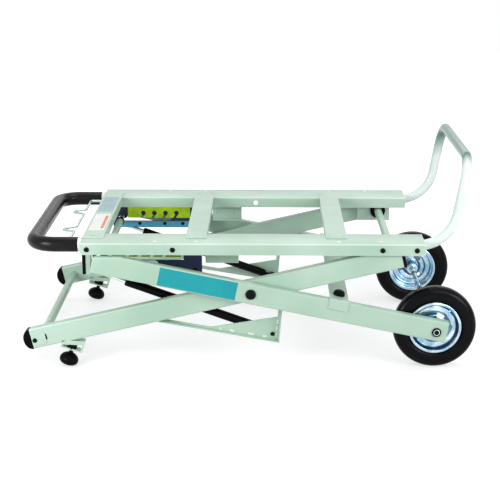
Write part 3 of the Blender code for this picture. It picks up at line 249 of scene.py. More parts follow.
def dull_black(name, light, dark, rough, grain_mm, depth_mm, shine):
    """Black rubber, plastic, paint or foam: it swallows light, apart from a soft highlight.

    The real grain is 0.1 to 0.5 mm wide, too fine to show, so it is drawn coarser.
    """
    return surface(
        name, (light, dark), drift=((30, 4.0, 0.6), 0.3, 0.7),
        gloss=((12, 3.0, 0.55), rough - 0.06, rough + 0.08),
        relief=(((grain_mm, 3.0, 0.6), depth_mm, 0.30, None),),
        Metallic=0.0, Specular_IOR_Level=shine)


def vinyl(name, light, dark, rough):
    """Cast vinyl film, stuck on: smooth and even, faintly uneven where the glue lies."""
    return surface(
        name, (light, dark), drift=((45, 3.0, 0.55), 0.3, 0.7),
        gloss=((10, 3.0, 0.55), rough - 0.04, rough + 0.06),
        relief=(((6, 2.0, 0.55), 0.02, 0.10, None),),
        Metallic=0.0, Specular_IOR_Level=0.35)


# each finish: its material, and the record's slot that it belongs to
FINISHES = {
    # baked enamel on the stand's sheet and legs: a satin, slightly greyed green
    "enamel": (enamel("sage_enamel", "bcd5c4", "a8c8b3", 0.36), "pale_enamel"),
    # the same enamel, paler and glossier on the rounded edges: a painted highlight
    "edge": (enamel("enamel_edge_highlight", "e2eee6", "d6e4db", 0.28), "pale_enamel"),
    # white enamel on the grip's end collars, and on the weld beads as a painted highlight: the
    # brightest spots
    "collar": (enamel("collar_enamel", "eef1f0", "e4e9e7", 0.3), "pale_enamel"),
    # dark blue on the slide guides: their blue darkened as painted shade under the table, deep and
    # dull
    "navy": (enamel("navy_enamel", "222e48", "1b2540", 0.42), "navy_enamel"),
    # the guides' own bright blue, on a thin strip over the far guide's lower part: painted light
    "guide_lit_blue": (enamel("guide_blue_enamel", "55b3d6", "48a4c8", 0.34), "navy_enamel"),
    # clear lacquer on both handles' drawn tube, with painted shade on the wheel end's lifting bar
    "tube": (lacquered_tube(), "bare_tube"),
    # blue-passivated zinc on the hubs and valves: bright, with a cool tint
    "blue_zinc": (plated("blue_zinc", "c2dcea", "9fc2d8", 0.20), "zinc_plate"),
    # the same on the pressed rims, with deep blue clouds between the white: painted reflections
    "rim_zinc_reflections": (plated("rim_zinc_reflections", "e6f2f7", "6296b4", 0.12, 34), "zinc_plate"),
    # clear zinc on the axle's nuts: a plain bright ring
    "clear_zinc": (plated("clear_zinc", "e4eef2", "c4d8e2", 0.15), "zinc_plate"),
    # zinc on drawn wire: a softer grey-green gloss
    "wire": (plated("wire_zinc", "cfe0db", "a9c4bb", 0.26, 12, 0.2), "bright_wire"),
    # hard chrome on the ground and polished spring rods and axle: hardly a cloud
    "chrome": (plated("rod_chrome", "e8eeef", "d5dde0", 0.10, 40), "zinc_plate"),
    # yellow zinc on the lock plates
    "yellow_zinc": (yellow_zinc(), "gold_zinc"),
    # moulded tyre rubber, cleaned and wiped: the smoothest black, with a thin highlight
    "tyre": (dull_black("tyre_rubber", "07080c", "040508", 0.21, 1.3, 0.02, 0.09), "black_tyre"),
    # moulded rubber on the pads and bumpers: the dullest black
    "rubber": (dull_black("foot_rubber", "060607", "030304", 0.42, 1.0, 0.06, 0.06),
               "black_rubber"),
    # moulded nylon on the caps and bushes: black with a fine even grain
    "plastic": (dull_black("cap_nylon", "050506", "030303", 0.36, 0.8, 0.03, 0.06),
                "black_plastic"),
    # black oxide on turned and forged steel, oiled: a low gloss on the bolts and pins
    "black_steel": (dull_black("black_oxide", "07080a", "040405", 0.30, 1.5, 0.02, 0.10),
                    "black_steel"),
    # black paint on the gas springs' drawn cylinders: smooth and dark
    "cylinder": (dull_black("cylinder_paint", "050606", "030303", 0.28, 2.0, 0.02, 0.07),
                 "black_steel"),
    # closed-cell foam with an extruded skin: shallow wrinkles break up a broad highlight
    "foam": (dull_black("grip_foam", "07080a", "040506", 0.27, 9.0, 0.08, 0.20), "black_foam"),
    # bare vinyl panels: flat areas of one colour, in place of what the real ones show
    "blue_vinyl": (vinyl("blue_vinyl", "14a2ab", "1098a2", 0.30), "navy_enamel"),
    "pale_blue_vinyl": (vinyl("pale_blue_vinyl", "93b9c0", "86adb6", 0.35), "pale_enamel"),
    "white_vinyl": (vinyl("white_vinyl", "f1f2ee", "e9ebe7", 0.35), "pale_enamel"),
    "orange_vinyl": (vinyl("orange_vinyl", "e07a38", "d8702f", 0.35), "pale_enamel"),
}


def side_word(side):
    """The word for one side."""
    return "near" if side < 0 else "far"


def at(x):
    """World X of a distance from the middle of the rails."""
    return MIDDLE + x


def leg_matrix(turn):
    """The frame of a leg, from its own axes to the world."""
    return Matrix.Translation(PIVOT) @ Matrix.Rotation(-turn, 4, "Y")


def alone(piece, *others):
    """Select one piece, and any others that go with it, and make it active."""
    bpy.ops.object.select_all(action="DESELECT")
    for item in (piece, *others):
        item.select_set(True)
    bpy.context.view_layer.objects.active = piece


def moved(piece, matrix):
    """Move a piece, with its place kept in its mesh."""
    piece.matrix_world = matrix
    alone(piece)
    bpy.ops.object.transform_apply()


def finish_with(piece, kind, **settings):
    """Put a modifier on a piece, set it and apply it."""
    alone(piece)
    mod = piece.modifiers.new(kind.lower(), kind)
    for key, value in settings.items():
        setattr(mod, key, value)
    bpy.ops.object.modifier_apply(modifier=mod.name)


def pick(piece, test):
    """In edit mode, select the points whose place passes a test."""
    bpy.ops.mesh.select_all(action="DESELECT")
    bpy.ops.object.mode_set(mode="OBJECT")
    for vert in piece.data.vertices:
        vert.select = test(vert.co)
    bpy.ops.object.mode_set(mode="EDIT")


def close_shell(solid=True):
    """Weld the seams, fill open ends where asked, face outwards and leave edit mode."""
    bpy.ops.mesh.select_all(action="SELECT")
    bpy.ops.mesh.remove_doubles(threshold=0.004 * MM)
    if solid:
        bpy.ops.mesh.fill_holes(sides=0)
    bpy.ops.mesh.normals_make_consistent(inside=False)
    bpy.ops.object.mode_set(mode="OBJECT")


def settle(piece, name, finish, body, nodes=(), smooth_deg=35.0):
    """Name and finish a piece, shade it, and let it ride a body and stand for frame nodes."""
    alone(piece)
    mat, slot = FINISHES[finish]
    piece.name = name
    piece.data.name = name
    piece.data.materials.clear()
    piece.data.materials.append(mat)
    bpy.ops.object.shade_smooth_by_angle(angle=math.radians(smooth_deg))
    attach(piece, body)
    if nodes:
        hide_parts(*nodes)
    return piece


def join(pieces):
    """Join several meshes into the first one."""
    if len(pieces) > 1:
        alone(*pieces)
        bpy.ops.object.join()
    return pieces[0]


def new_ring(place, axis, radius, count):
    """Start a piece from a ring at its place, square to an axis, in edit mode."""
    bpy.ops.object.select_all(action="DESELECT")
    turn = Vector(axis).to_track_quat("Z", "Y").to_euler()
    bpy.ops.mesh.primitive_circle_add(vertices=count, radius=radius, fill_type="NOTHING",
                                      location=place, rotation=turn)
    bpy.ops.object.transform_apply()
    bpy.ops.object.mode_set(mode="EDIT")
    return bpy.context.object


def grow(move, factor=1.0, about=(0, 0, 0)):
    """Extrude the selected ring along a move and resize it about a point."""
    bpy.ops.mesh.extrude_region_move(TRANSFORM_OT_translate={"value": move})
    if abs(factor - 1.0) > 1e-6:
        bpy.ops.transform.resize(value=(factor, factor, factor), center_override=about)


def eased(profile, radius_mm, closed, steps=3):
    """The profile with each corner rounded, and points on the axis left alone."""
    out = []
    last = len(profile) - 1
    for index, here in enumerate(profile):
        if here[1] == 0 or (not closed and index in (0, last)):
            out.append(here)
            continue
        corner = Vector(here)
        back = Vector(profile[index - 1]) - corner
        ahead = Vector(profile[(index + 1) % len(profile)]) - corner
        reach = min(radius_mm * MM, back.length * 0.45, ahead.length * 0.45)
        for step in range(steps + 1):
            share = step / steps
            out.append(tuple(corner + back.normalized() * reach * (1 - share) ** 2
                             + ahead.normalized() * reach * share ** 2))
    return out


def turned(profile, centre, axis=(0, 1, 0), radius_mm=0.6, count=64, hollow=False, steps=3):
    """Turn (along, radius) pairs: a ring extruded and resized from step to step."""
    run = Vector(axis).normalized()
    rings = [pair for pair in eased(profile, radius_mm, hollow, steps) if pair[1] > 0]
    if hollow:
        rings.append(rings[0])
    along, radius = rings[0]
    piece = new_ring(Vector(centre) + run * along, run, radius, count)
    for next_along, next_radius in rings[1:]:
        grow(run * (next_along - along), next_radius / radius, Vector(centre) + run * next_along)
        along, radius = next_along, next_radius
    close_shell(not hollow)
    return piece


def mirrored(profile, side):
    """A profile along Y for the near or the far side."""
    return [(side * along, radius) for along, radius in profile]


def ring_wall(start, stop, inner, outer):
    """Profile of a plain hollow ring."""
    return [(start, inner), (start, outer), (stop, outer), (stop, inner)]


def bent_bar(corners, bends, radius, count, solid, step_deg=5.0, neck=None):
    """A bar through corner points: straight runs are extruded and bends are spun."""
    points = [Vector(corner) for corner in corners]
    here = points[0]
    first = (points[1] - here).normalized()
    piece = new_ring(here, first, neck or radius, count)
    if neck:
        here += first * 2 * neck
        grow(first * 2 * neck, radius / neck, here)
    for index, bend in enumerate(bends, 1):
        corner = points[index]
        back = (points[index - 1] - corner).normalized()
        ahead = (points[index + 1] - corner).normalized()
        turn = math.pi - back.angle(ahead)
        reach = bend * math.tan(turn / 2)
        centre = corner + (back + ahead).normalized() * (bend / math.cos(turn / 2))
        start = corner + back * reach
        stop = corner + ahead * reach
        axis = (start - centre).cross(stop - centre).normalized()
        grow(start - here)
        bpy.ops.mesh.spin(steps=max(3, round(math.degrees(turn) / step_deg)), angle=-turn,
                          center=centre, axis=axis)
        here = stop
    last = (points[-1] - here).normalized()
    if neck:
        grow(points[-1] - here - last * 2 * neck)
        grow(last * 2 * neck, neck / radius, points[-1])
    else:
        grow(points[-1] - here)
    close_shell(solid)
    return piece


def sheet(node, finish, width_mm=0.6, segments=2, trims=()):
    """A copy of a sheet node, trimmed where asked, with its edges rounded over."""
    source = frame["nodes"][node]
    piece = bpy.data.objects.new(node + "_sheet", source.data.copy())
    bpy.context.scene.collection.objects.link(piece)
    alone(piece)
    bpy.ops.object.mode_set(mode="EDIT")
    bpy.ops.mesh.select_all(action="SELECT")
    bpy.ops.mesh.remove_doubles(threshold=0.01 * MM)
    bpy.ops.mesh.dissolve_limited(angle_limit=math.radians(0.6))
    for place, normal in trims:
        bpy.ops.mesh.select_all(action="SELECT")
        bpy.ops.mesh.bisect(plane_co=place, plane_no=normal, use_fill=True, clear_outer=True)
    bpy.ops.mesh.select_all(action="SELECT")
    bpy.ops.mesh.normals_make_consistent(inside=False)
    bpy.ops.object.mode_set(mode="OBJECT")
    for face in piece.data.polygons:
        face.material_index = 0
    settle(piece, node + "_sheet", finish, source["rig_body"], (node,))
    # enamel sheets get the paler enamel on their rounded edges, as a painted highlight
    if finish == "enamel":
        piece.data.materials.append(FINISHES["edge"][0])
    finish_with(piece, "BEVEL", width=width_mm * MM, segments=segments, limit_method="ANGLE",
                angle_limit=math.radians(28.0), use_clamp_overlap=True, harden_normals=True,
                material=len(piece.data.materials) - 1)
    return piece


def cut_away(piece, cutter):
    """Take a cutter's shape out of a piece, and drop the cutter."""
    finish_with(piece, "BOOLEAN", operation="DIFFERENCE", solver="EXACT", object=cutter)
    mesh = cutter.data
    bpy.data.objects.remove(cutter)
    bpy.data.meshes.remove(mesh)


def box_cutter(low, high):
    """A block between two corners, to cut with."""
    low, high = Vector(low), Vector(high)
    bpy.ops.mesh.primitive_cube_add(size=1.0, location=(low + high) / 2, scale=high - low)
    bpy.ops.object.transform_apply()
    return bpy.context.object


def plate_piece(centre, size, turn, corner_mm, thick):
    """A thin plate: a plane at its place, its corners rounded, extruded along its normal."""
    bpy.ops.object.select_all(action="DESELECT")
    bpy.ops.mesh.primitive_plane_add(size=1.0, location=centre, rotation=turn)
    piece = bpy.context.object
    piece.scale = (size[0], size[1], 1.0)
    out = piece.rotation_euler.to_matrix() @ Vector((0, 0, 1))
    bpy.ops.object.transform_apply()
    bpy.ops.object.mode_set(mode="EDIT")
    bpy.ops.mesh.bevel(offset=corner_mm * MM, segments=5, affect="VERTICES")
    bpy.ops.mesh.extrude_region_move(TRANSFORM_OT_translate={"value": out * thick})
    close_shell()
    return piece


def heads(name, places, axis, profile, finish, body, radius_mm=0.4, count=28):
    """Matching fasteners as one piece: one is turned and the others are copies of it."""
    first = turned(profile, places[0], axis, radius_mm, count)
    copies = [first]
    for place in places[1:]:
        alone(first)
        step = Vector(place) - Vector(places[0])
        bpy.ops.object.duplicate_move(TRANSFORM_OT_translate={"value": step})
        copies.append(bpy.context.object)
    return settle(join(copies), name, finish, body)


def button(radius, high):
    """Profile of a domed head with a round socket."""
    return [(0, 0), (0, radius), (high * 0.35, radius), (high * 0.8, radius * 0.78),
            (high, radius * 0.45), (high, radius * 0.3), (high * 0.5, radius * 0.26),
            (high * 0.5, 0)]


def low_head(radius, high):
    """Profile of a low round head, or of a hexagon nut when turned in six steps."""
    return [(0, 0), (0, radius), (high * 0.7, radius), (high, radius * 0.78), (high, 0)]


def foot_end_handle():
    """The U of tube at the foot end, its foam grip and the white collars at the grip's ends."""
    bend = 0.055
    tip = RAIL_LEFT - 0.122

    def bow(inner):
        return [(inner, -ARM_Y, ARM_Z), (tip, -ARM_Y, ARM_Z), (tip, ARM_Y, ARM_Z),
                (inner, ARM_Y, ARM_Z)]

    tube = bent_bar(bow(RAIL_LEFT + 0.234), (bend, bend), 12.4 * MM, 36, False)
    finish_with(tube, "SOLIDIFY", thickness=1.5 * MM, offset=-1.0)
    settle(tube, "foot_handle_tube", "tube", "table_frame", ("foot_end_handle",), 50)
    grip = bent_bar(bow(RAIL_LEFT - 0.010), (bend, bend), 17.95 * MM, 44, False, 4.0)
    finish_with(grip, "SOLIDIFY", thickness=4.6 * MM, offset=-1.0)
    finish_with(grip, "BEVEL", width=1.6 * MM, segments=4, limit_method="ANGLE",
                angle_limit=math.radians(60), use_clamp_overlap=False)
    settle(grip, "foam_grip_sleeve", "foam", "table_frame", ("foam_grip",), 60)
    collar = ring_wall(0, 9.2 * MM, 12.7 * MM, 17.3 * MM)
    rings = [turned(collar, (RAIL_LEFT - 0.4 * MM, side * ARM_Y, ARM_Z), (-1, 0, 0), 1.2, 48, True)
             for side in SIDES]
    settle(join(rings), "grip_collars", "collar", "table_frame")


def wheel_end_handle():
    """The tube that rises out of the rails at the wheel end, with its lifting bar on top."""
    lean = math.radians(80.0)
    low_bend = 0.092
    top_bend = 0.060
    top_z = 0.4999
    rise_x = RAIL_RIGHT + 63.4325 * MM
    top_x = rise_x + (top_z - ARM_Z) / math.tan(lean)
    corners = []
    for side in SIDES:
        run = [(RAIL_RIGHT - 0.119, side * ARM_Y, ARM_Z), (rise_x, side * ARM_Y, ARM_Z),
               (top_x, side * ARM_Y, top_z)]
        corners += run if side < 0 else run[::-1]
    bends = (low_bend, top_bend, top_bend, low_bend)
    tube = bent_bar(corners, bends, 12.15 * MM, 40, False, 4.0)
    finish_with(tube, "SOLIDIFY", thickness=1.5 * MM, offset=-1.0)
    settle(tube, "wheel_handle_tube", "tube", "table_frame", ("wheel_end_handle",), 50)


def release_wire():
    """The bent wire bail with its two finger loops and thinner ends."""
    end_x = RAIL_LEFT + 0.012
    bar_x = RAIL_LEFT - 0.037
    loop_x = bar_x - 0.027
    wire_z = 0.2935
    half = [(end_x, 0.18645), (end_x, 0.2095), (bar_x, 0.2095), (bar_x, 0.112),
            (loop_x, 0.100), (loop_x, 0.080), (bar_x, 0.066)]
    points = [(x, y, wire_z) for x, y in half] + [(x, -y, wire_z) for x, y in reversed(half)]
    bends = [0.0065] * (len(points) - 2)
    wire = bent_bar(points, bends, 3.3 * MM, 20, True, 12.0, 2.4 * MM)
    settle(wire, "release_wire", "wire", "release_bail", ("release_lever",), 60)


def table_sheets():
    """Rails, plates, lock plates and brackets with rounded sheet edges."""
    for word in ("near", "far"):
        sheet(word + "_rail", "enamel", 1.0, 3)
        sheet("lock_plate_" + word, "yellow_zinc", 0.4)
        for name in ("stay_bracket", "shaft_bracket", "spring_anchor"):
            sheet(name + "_" + word, "enamel")
    sheet("end_plate", "enamel", 0.7)
    plate_half = Vector((0.0249, 0, 0))
    for name in ("cross_plate_left", "cross_plate_right"):
        middle = middle_of(name)
        sheet(name, "enamel", 0.7, 2,
              [(middle + plate_half, (1, 0, 0)), (middle - plate_half, (-1, 0, 0))])


def slide_guides():
    """The guides, dark blue as painted shade, trimmed to what the real ones are, and the far one's
    strip of painted light.
    """
    right_end = [((at(-0.121), 0, 0), (1, 0, 0))]
    guide = sheet("slide_guide_near", "navy", 0.4, 2, right_end)
    cut_away(guide, box_cutter((at(-0.373), -0.230, 0.2530), (at(-0.165), -0.212, 0.310)))
    sheet("slide_guide_far", "navy", 0.4, 2, right_end)
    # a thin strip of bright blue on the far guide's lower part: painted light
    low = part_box("slide_guide_far")[0]
    length = at(-0.124) - low.x
    margin = 3 * MM
    strip = plate_piece((low.x + margin + length / 2, 0.2194, low.z + 0.0093),
                        (length - 2 * margin, 0.0165), (math.radians(90), 0, 0), 1.0, 0.3 * MM)
    settle(strip, "guide_lit_strip_far", "guide_lit_blue", "table_frame")


def leg_sheets():
    """Legs, gussets, top caps and the strap with rounded edges."""
    for word in ("near", "far"):
        for name in ("outer_leg", "inner_leg", "gusset"):
            sheet(name + "_" + word, "enamel", 1.3, 3)
        sheet("top_cap_" + word, "plastic", 1.0, 3)
    sheet("leg_strap", "enamel", 0.7)


def tipped_foot(pieces, side, lift=0.0):
    """Tip a foot's pieces: the pad is square to the floor only when the stand is up."""
    pivot = middle_of("foot_pad_" + side_word(side))
    raised = pivot + Vector((0, 0, lift))
    tip = (Matrix.Translation(raised) @ Matrix.Rotation(FOOT_TIP, 4, "Y")
           @ Matrix.Translation(-pivot))
    for piece in pieces:
        moved(piece, tip)


def foot_cap(side):
    """The round-nosed cap of an inner leg, its side plate and, beside that, a dark plate of
    painted shade for a dent.
    """
    word = side_word(side)
    leg = leg_matrix(INNER_TURN)
    bpy.ops.object.select_all(action="DESELECT")
    bpy.ops.mesh.primitive_cylinder_add(vertices=64, radius=0.0251, depth=0.0244,
                                        rotation=(math.radians(90), 0, 0), scale=(0.76, 1, 1))
    cap = bpy.context.object
    bpy.ops.object.transform_apply()
    bpy.ops.object.mode_set(mode="EDIT")
    bpy.ops.mesh.select_all(action="SELECT")
    bpy.ops.mesh.bisect(plane_co=(0, 0, 0), plane_no=(1, 0, 0), use_fill=True, clear_outer=True)
    close_shell()
    moved(cap, leg @ Matrix.Translation((NOSE_START, side * INNER_MIDDLE_Y, 0)))
    settle(cap, "foot_cap_nose_" + word, "plastic", "inner_frame", ("foot_cap_" + word,), 40)
    finish_with(cap, "BEVEL", width=1.2 * MM, segments=3, limit_method="ANGLE",
                angle_limit=math.radians(50))

    turn = (math.radians(-90 * side), -INNER_TURN, 0)
    for name, along, drop, size, corner_mm, thick, finish in (
            ("cap_side_plate_", 18.5, 3.0, (0.033, 0.028), 2.0, 1.6, "enamel"),
            # beside the plate, a thin black plate of painted shade where the cap has a dent
            ("cap_side_dent_shade_", 36.2, 1.0, (0.004, 0.013), 1.2, 1.2, "cylinder")):
        centre = leg @ Vector((NOSE_START + along * MM, side * INNER_FACE_Y, -drop * MM))
        settle(plate_piece(centre, size, turn, corner_mm, thick * MM), name + word, finish,
               "inner_frame")


def foot_seat(side):
    """The open, tipped seat of a foot: a folded strap round the pad's stud."""
    word = side_word(side)
    seat = sheet("foot_bracket_" + word, "enamel")
    low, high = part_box("foot_bracket_" + word)
    window = box_cutter((low.x + 0.005, low.y - 0.01, low.z + 0.0040),
                        (high.x - 0.0045, high.y + 0.01, low.z + 0.0205))
    # the window's upper left corner drops, so that the strap slopes as the leg does
    bpy.ops.object.mode_set(mode="EDIT")
    pick(window, lambda spot: spot.z > low.z + 0.01 and spot.x < low.x + 0.01)
    bpy.ops.transform.translate(value=(0, 0, -0.0120))
    bpy.ops.object.mode_set(mode="OBJECT")
    cut_away(seat, window)
    place = Vector(((low.x + high.x) / 2, side * INNER_MIDDLE_Y, low.z + 0.003))
    # a lock nut on the pad's stud, made big and black so that the seat's window shows painted
    # shade
    stud = heads("foot_nut_and_shade_" + word, [place], (0, 0, 1), low_head(13.0 * MM, 11.0 * MM),
                 "plastic", "inner_frame", 0.4, 6)
    tipped_foot([seat, stud], side, 3.8 * MM)


def bars():
    """Axle, table shaft, slide rod and foot cross tube."""
    end = OUTER_FACE_Y
    radius = 6.95 * MM
    axle = turned([(-end, 0), (-end, radius), (end, radius), (end, 0)], middle_of("axle"),
                  count=40)
    settle(axle, "axle_bar", "chrome", "outer_frame", ("axle",))
    for node, name in (("table_shaft", "shaft_bar"), ("foot_cross_tube", "foot_bar")):
        low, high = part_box(node)
        wall = ring_wall(low.y, high.y, 8 * MM, 9.97 * MM)
        bar = turned(wall, middle_of(node) * Vector((1, 0, 1)), count=44, hollow=True)
        settle(bar, name, "enamel", "inner_frame", (node,))
    low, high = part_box("slide_rod")
    thick_y = 0.178
    thin = 5.97 * MM
    thick = 8.97 * MM
    steps = [(low.y, 0), (low.y, thin), (-thick_y, thin), (-thick_y, thick), (thick_y, thick),
             (thick_y, thin), (high.y, thin), (high.y, 0)]
    rod = middle_of("slide_rod") * Vector((1, 0, 1))
    settle(turned(steps, rod, count=44), "slide_bar", "enamel", "outer_frame", ("slide_rod",))
    for side in SIDES:
        bar_rings(side, rod, thick_y)


def bar_rings(side, rod, thick_y):
    """The slide rod's cap and bush and the table shaft's bush, on one side."""
    word = side_word(side)
    start = thick_y + 0.3 * MM
    cap = mirrored(ring_wall(start, start + 8 * MM, 6.1 * MM, 11.5 * MM), side)
    settle(turned(cap, rod, radius_mm=1.2, hollow=True), "rod_cap_" + word, "plastic",
           "outer_frame")
    shaft = middle_of("table_shaft") * Vector((1, 0, 1))
    for node, inner, outer, centre, body in (
            ("slide_bush_", 6.2, 10.97, rod, "outer_frame"),
            ("shaft_bush_", 10.3, 19.95, shaft, "table_frame")):
        low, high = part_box(node + word)
        bush = ring_wall(low.y, high.y, inner * MM, outer * MM)
        settle(turned(bush, centre, radius_mm=1.0, hollow=True), node + "ring_" + word,
               "plastic", body, (node + word,))


def main_pin(side):
    """The pivot pin that the legs cross on: nut, washer between the legs and domed head."""
    word = side_word(side)
    nut = WEB_Y
    washer = INNER_FACE_Y + 0.3 * MM
    head = HEAD_Y
    shank = 8 * MM
    profile = [(nut, 0), (nut, shank), (washer, shank), (washer, 0.014),
               (washer + 0.0019, 0.014), (washer + 0.0019, shank), (head, shank),
               (head, 0.01245), (head + 0.0022, 0.01245), (head + 0.0048, 0.0095),
               (head + 0.0060, 0.0050), (head + 0.0060, 0)]
    settle(turned(mirrored(profile, side), PIVOT, radius_mm=0.9), "main_pin_" + word,
           "black_steel", "outer_frame", ("pivot_pin_" + word,))
    heads("pin_cover_" + word, [PIVOT + Vector((0, side * (WEB_Y + 0.1 * MM), 0))], (0, -side, 0),
          low_head(8.8 * MM, 0.8 * MM), "enamel", "outer_frame")


def spring_pin(side):
    """The pin in the gusset that holds a gas spring's lower eye."""
    word = side_word(side)
    shoulder = 0.2272
    head = 0.2493
    profile = [(shoulder - 0.002, 0), (shoulder - 0.002, 0.00745), (shoulder, 0.00745),
               (shoulder, 0.005), (head, 0.005), (head + 0.0020, 0.005),
               (head + 0.0034, 0.0035), (head + 0.0034, 0)]
    place = middle_of("spring_pin_" + word) * Vector((1, 0, 1))
    settle(turned(mirrored(profile, side), place, count=40), "eye_pin_" + word, "black_steel",
           "inner_frame", ("spring_pin_" + word,))


def axle_nut(side):
    """The axle's nut: a black ring, a bright ring in it and a black core."""
    word = side_word(side)
    axle = middle_of("axle")
    start = HEAD_Y
    ring = [(start, 0.0076), (start, 0.01095), (start + 0.0030, 0.01095),
            (start + 0.0040, 0.0098), (start + 0.0040, 0.0076)]
    settle(turned(mirrored(ring, side), axle, hollow=True), "nut_ring_" + word, "black_steel",
           "outer_frame", ("axle_nut_" + word,))
    bright = ring_wall(start, start + 0.0046, 0.0056, 0.0074)
    settle(turned(mirrored(bright, side), axle, hollow=True), "nut_face_" + word, "clear_zinc",
           "outer_frame")
    core = [(start, 0), (start, 0.0053), (start + 0.0060, 0.0053), (start + 0.0078, 0.0035),
            (start + 0.0078, 0)]
    settle(turned(mirrored(core, side), axle, count=40), "nut_core_" + word, "black_steel",
           "outer_frame")


def gas_spring(side):
    """Cylinder with its neck and eye, and the bright rod with its eye."""
    word = side_word(side)
    foot = middle_of("spring_pin_" + word)
    foot.y = side * 0.2345
    top = Vector((at(-0.395), foot.y, 0.236))
    run = (top - foot).normalized()
    length = (top - foot).length
    mouth = length - 0.0967
    neck = 0.005
    body = [(0.007, 0), (0.007, neck), (0.019, neck), (0.022, 0.0088), (0.024, 0.01045),
            (mouth - 0.004, 0.01045), (mouth - 0.0025, 0.0100), (mouth, 0.0092),
            (mouth, 0.0053), (mouth - 0.006, 0.0053), (mouth - 0.006, 0)]
    eye = ring_wall(-0.007, 0.007, 0.00525, 0.00995)
    settle(join([turned(body, foot, run, 0.8, 48), turned(eye, foot, (0, 1, 0), 0.8, 48, True)]),
           "spring_body_" + word, "cylinder", word + "_spring_body", ("gas_cylinder_" + word,))
    inner = length - 0.262
    outer = length - 0.0075
    rod = [(inner, 0), (inner, 0.00495), (outer, 0.00495), (outer, 0)]
    eye = [(-0.006, 0), (-0.006, 0.0079), (0.006, 0.0079), (0.006, 0)]
    settle(join([turned(rod, foot, run, 0.4, 40), turned(eye, top, (0, 1, 0), 0.8, 40)]),
           "spring_rod_" + word, "chrome", word + "_spring_rod", ("gas_rod_" + word,))


def oval_cutter(place, turn):
    """An oval bar along Y, to cut one of the rim's holes: a round bar pulled out sideways."""
    count = 32
    half_turn = math.radians(180 / count)
    bpy.ops.mesh.primitive_cylinder_add(
        vertices=count, radius=5.6 * MM, depth=0.06, location=place + Vector((0, 0, 0.0285)),
        rotation=(math.radians(90), half_turn, 0))
    cutter = bpy.context.object
    bpy.ops.object.transform_apply()
    bpy.ops.object.mode_set(mode="EDIT")
    for way in SIDES:
        pick(cutter, lambda spot: (spot.x - place.x) * way > 0.02 * MM)
        bpy.ops.transform.translate(value=(way * 4.6 * MM, 0, 0))
    bpy.ops.object.mode_set(mode="OBJECT")
    moved(cutter, Matrix.Translation(place) @ Matrix.Rotation(turn, 4, "Y")
          @ Matrix.Translation(-place))
    return cutter


def tyre(word, place):
    """A smooth tyre with a fine raised line on each wall."""
    half = [(0.0150, 0.0592), (0.0150, 0.0640), (0.0190, 0.0680), (0.0208, 0.0750),
            (0.0209, 0.0830), (0.0190, 0.0905), (0.0150, 0.0960), (0.0090, 0.0988),
            (0.0030, 0.0996)]
    loop = half + [(-y, r) for y, r in reversed(half)]
    parts = [turned(loop, place, radius_mm=3.2, count=104, hollow=True, steps=4)]
    line = [(0.0202, 0.0866), (0.0202, 0.0884), (0.0206, 0.0879), (0.0206, 0.0871)]
    for face in SIDES:
        parts.append(turned(mirrored(line, face), place, radius_mm=0.2, count=104, hollow=True,
                            steps=1))
    settle(join(parts), "tyre_skin_" + word, "tyre", word + "_wheel", ("tyre_" + word,), 60)


def rim(word, place, side):
    """The pressed rim: rolled lips, a stepped dish and three oval holes, with a dark seam."""
    body = word + "_wheel"
    outer = 0.0586
    under = 0.0566
    lip = [(0.0180, under), (0.0180, 0.0616), (0.0173, 0.0630), (0.0162, 0.0630),
           (0.0158, 0.0612), (0.0156, outer)]
    back = [(-y, r) for y, r in reversed(lip)]
    dish_in = [(-0.0010, under), (-0.0010, 0.0535), (0.0058, 0.0505), (0.0070, 0.0480),
               (0.0070, 0.0405), (0.0058, 0.0375), (0.0010, 0.0350), (-0.0010, 0.0330),
               (-0.0010, 0.0260), (0.0005, 0.0235), (0.0130, 0.0195), (0.0130, 0.0157)]
    dish_out = [(0.0150, 0.0157), (0.0150, 0.0207), (0.0025, 0.0250), (0.0010, 0.0270),
                (0.0010, 0.0322), (0.0030, 0.0338), (0.0078, 0.0364), (0.0090, 0.0395),
                (0.0090, 0.0488), (0.0078, 0.0520), (0.0010, 0.0550), (0.0010, under)]
    piece = turned(mirrored(lip + back + dish_in + dish_out, side), place, radius_mm=1.2,
                   count=96, hollow=True)
    hole_count = 3
    for index in range(hole_count):
        turn = math.tau * index / hole_count + math.radians(30.0)
        cut_away(piece, oval_cutter(place, turn))
    # the rim's deep blue clouds are painted reflections
    settle(piece, "rim_skin_" + word, "rim_zinc_reflections", body, ("rim_" + word,), 50)
    seam = [(0.0012, 0.0528), (0.0012, 0.0564), (0.0034, 0.0564), (0.0034, 0.0528)]
    settle(turned(mirrored(seam, side), place, radius_mm=0.3, count=96, hollow=True),
           "rim_seam_" + word, "navy", body)


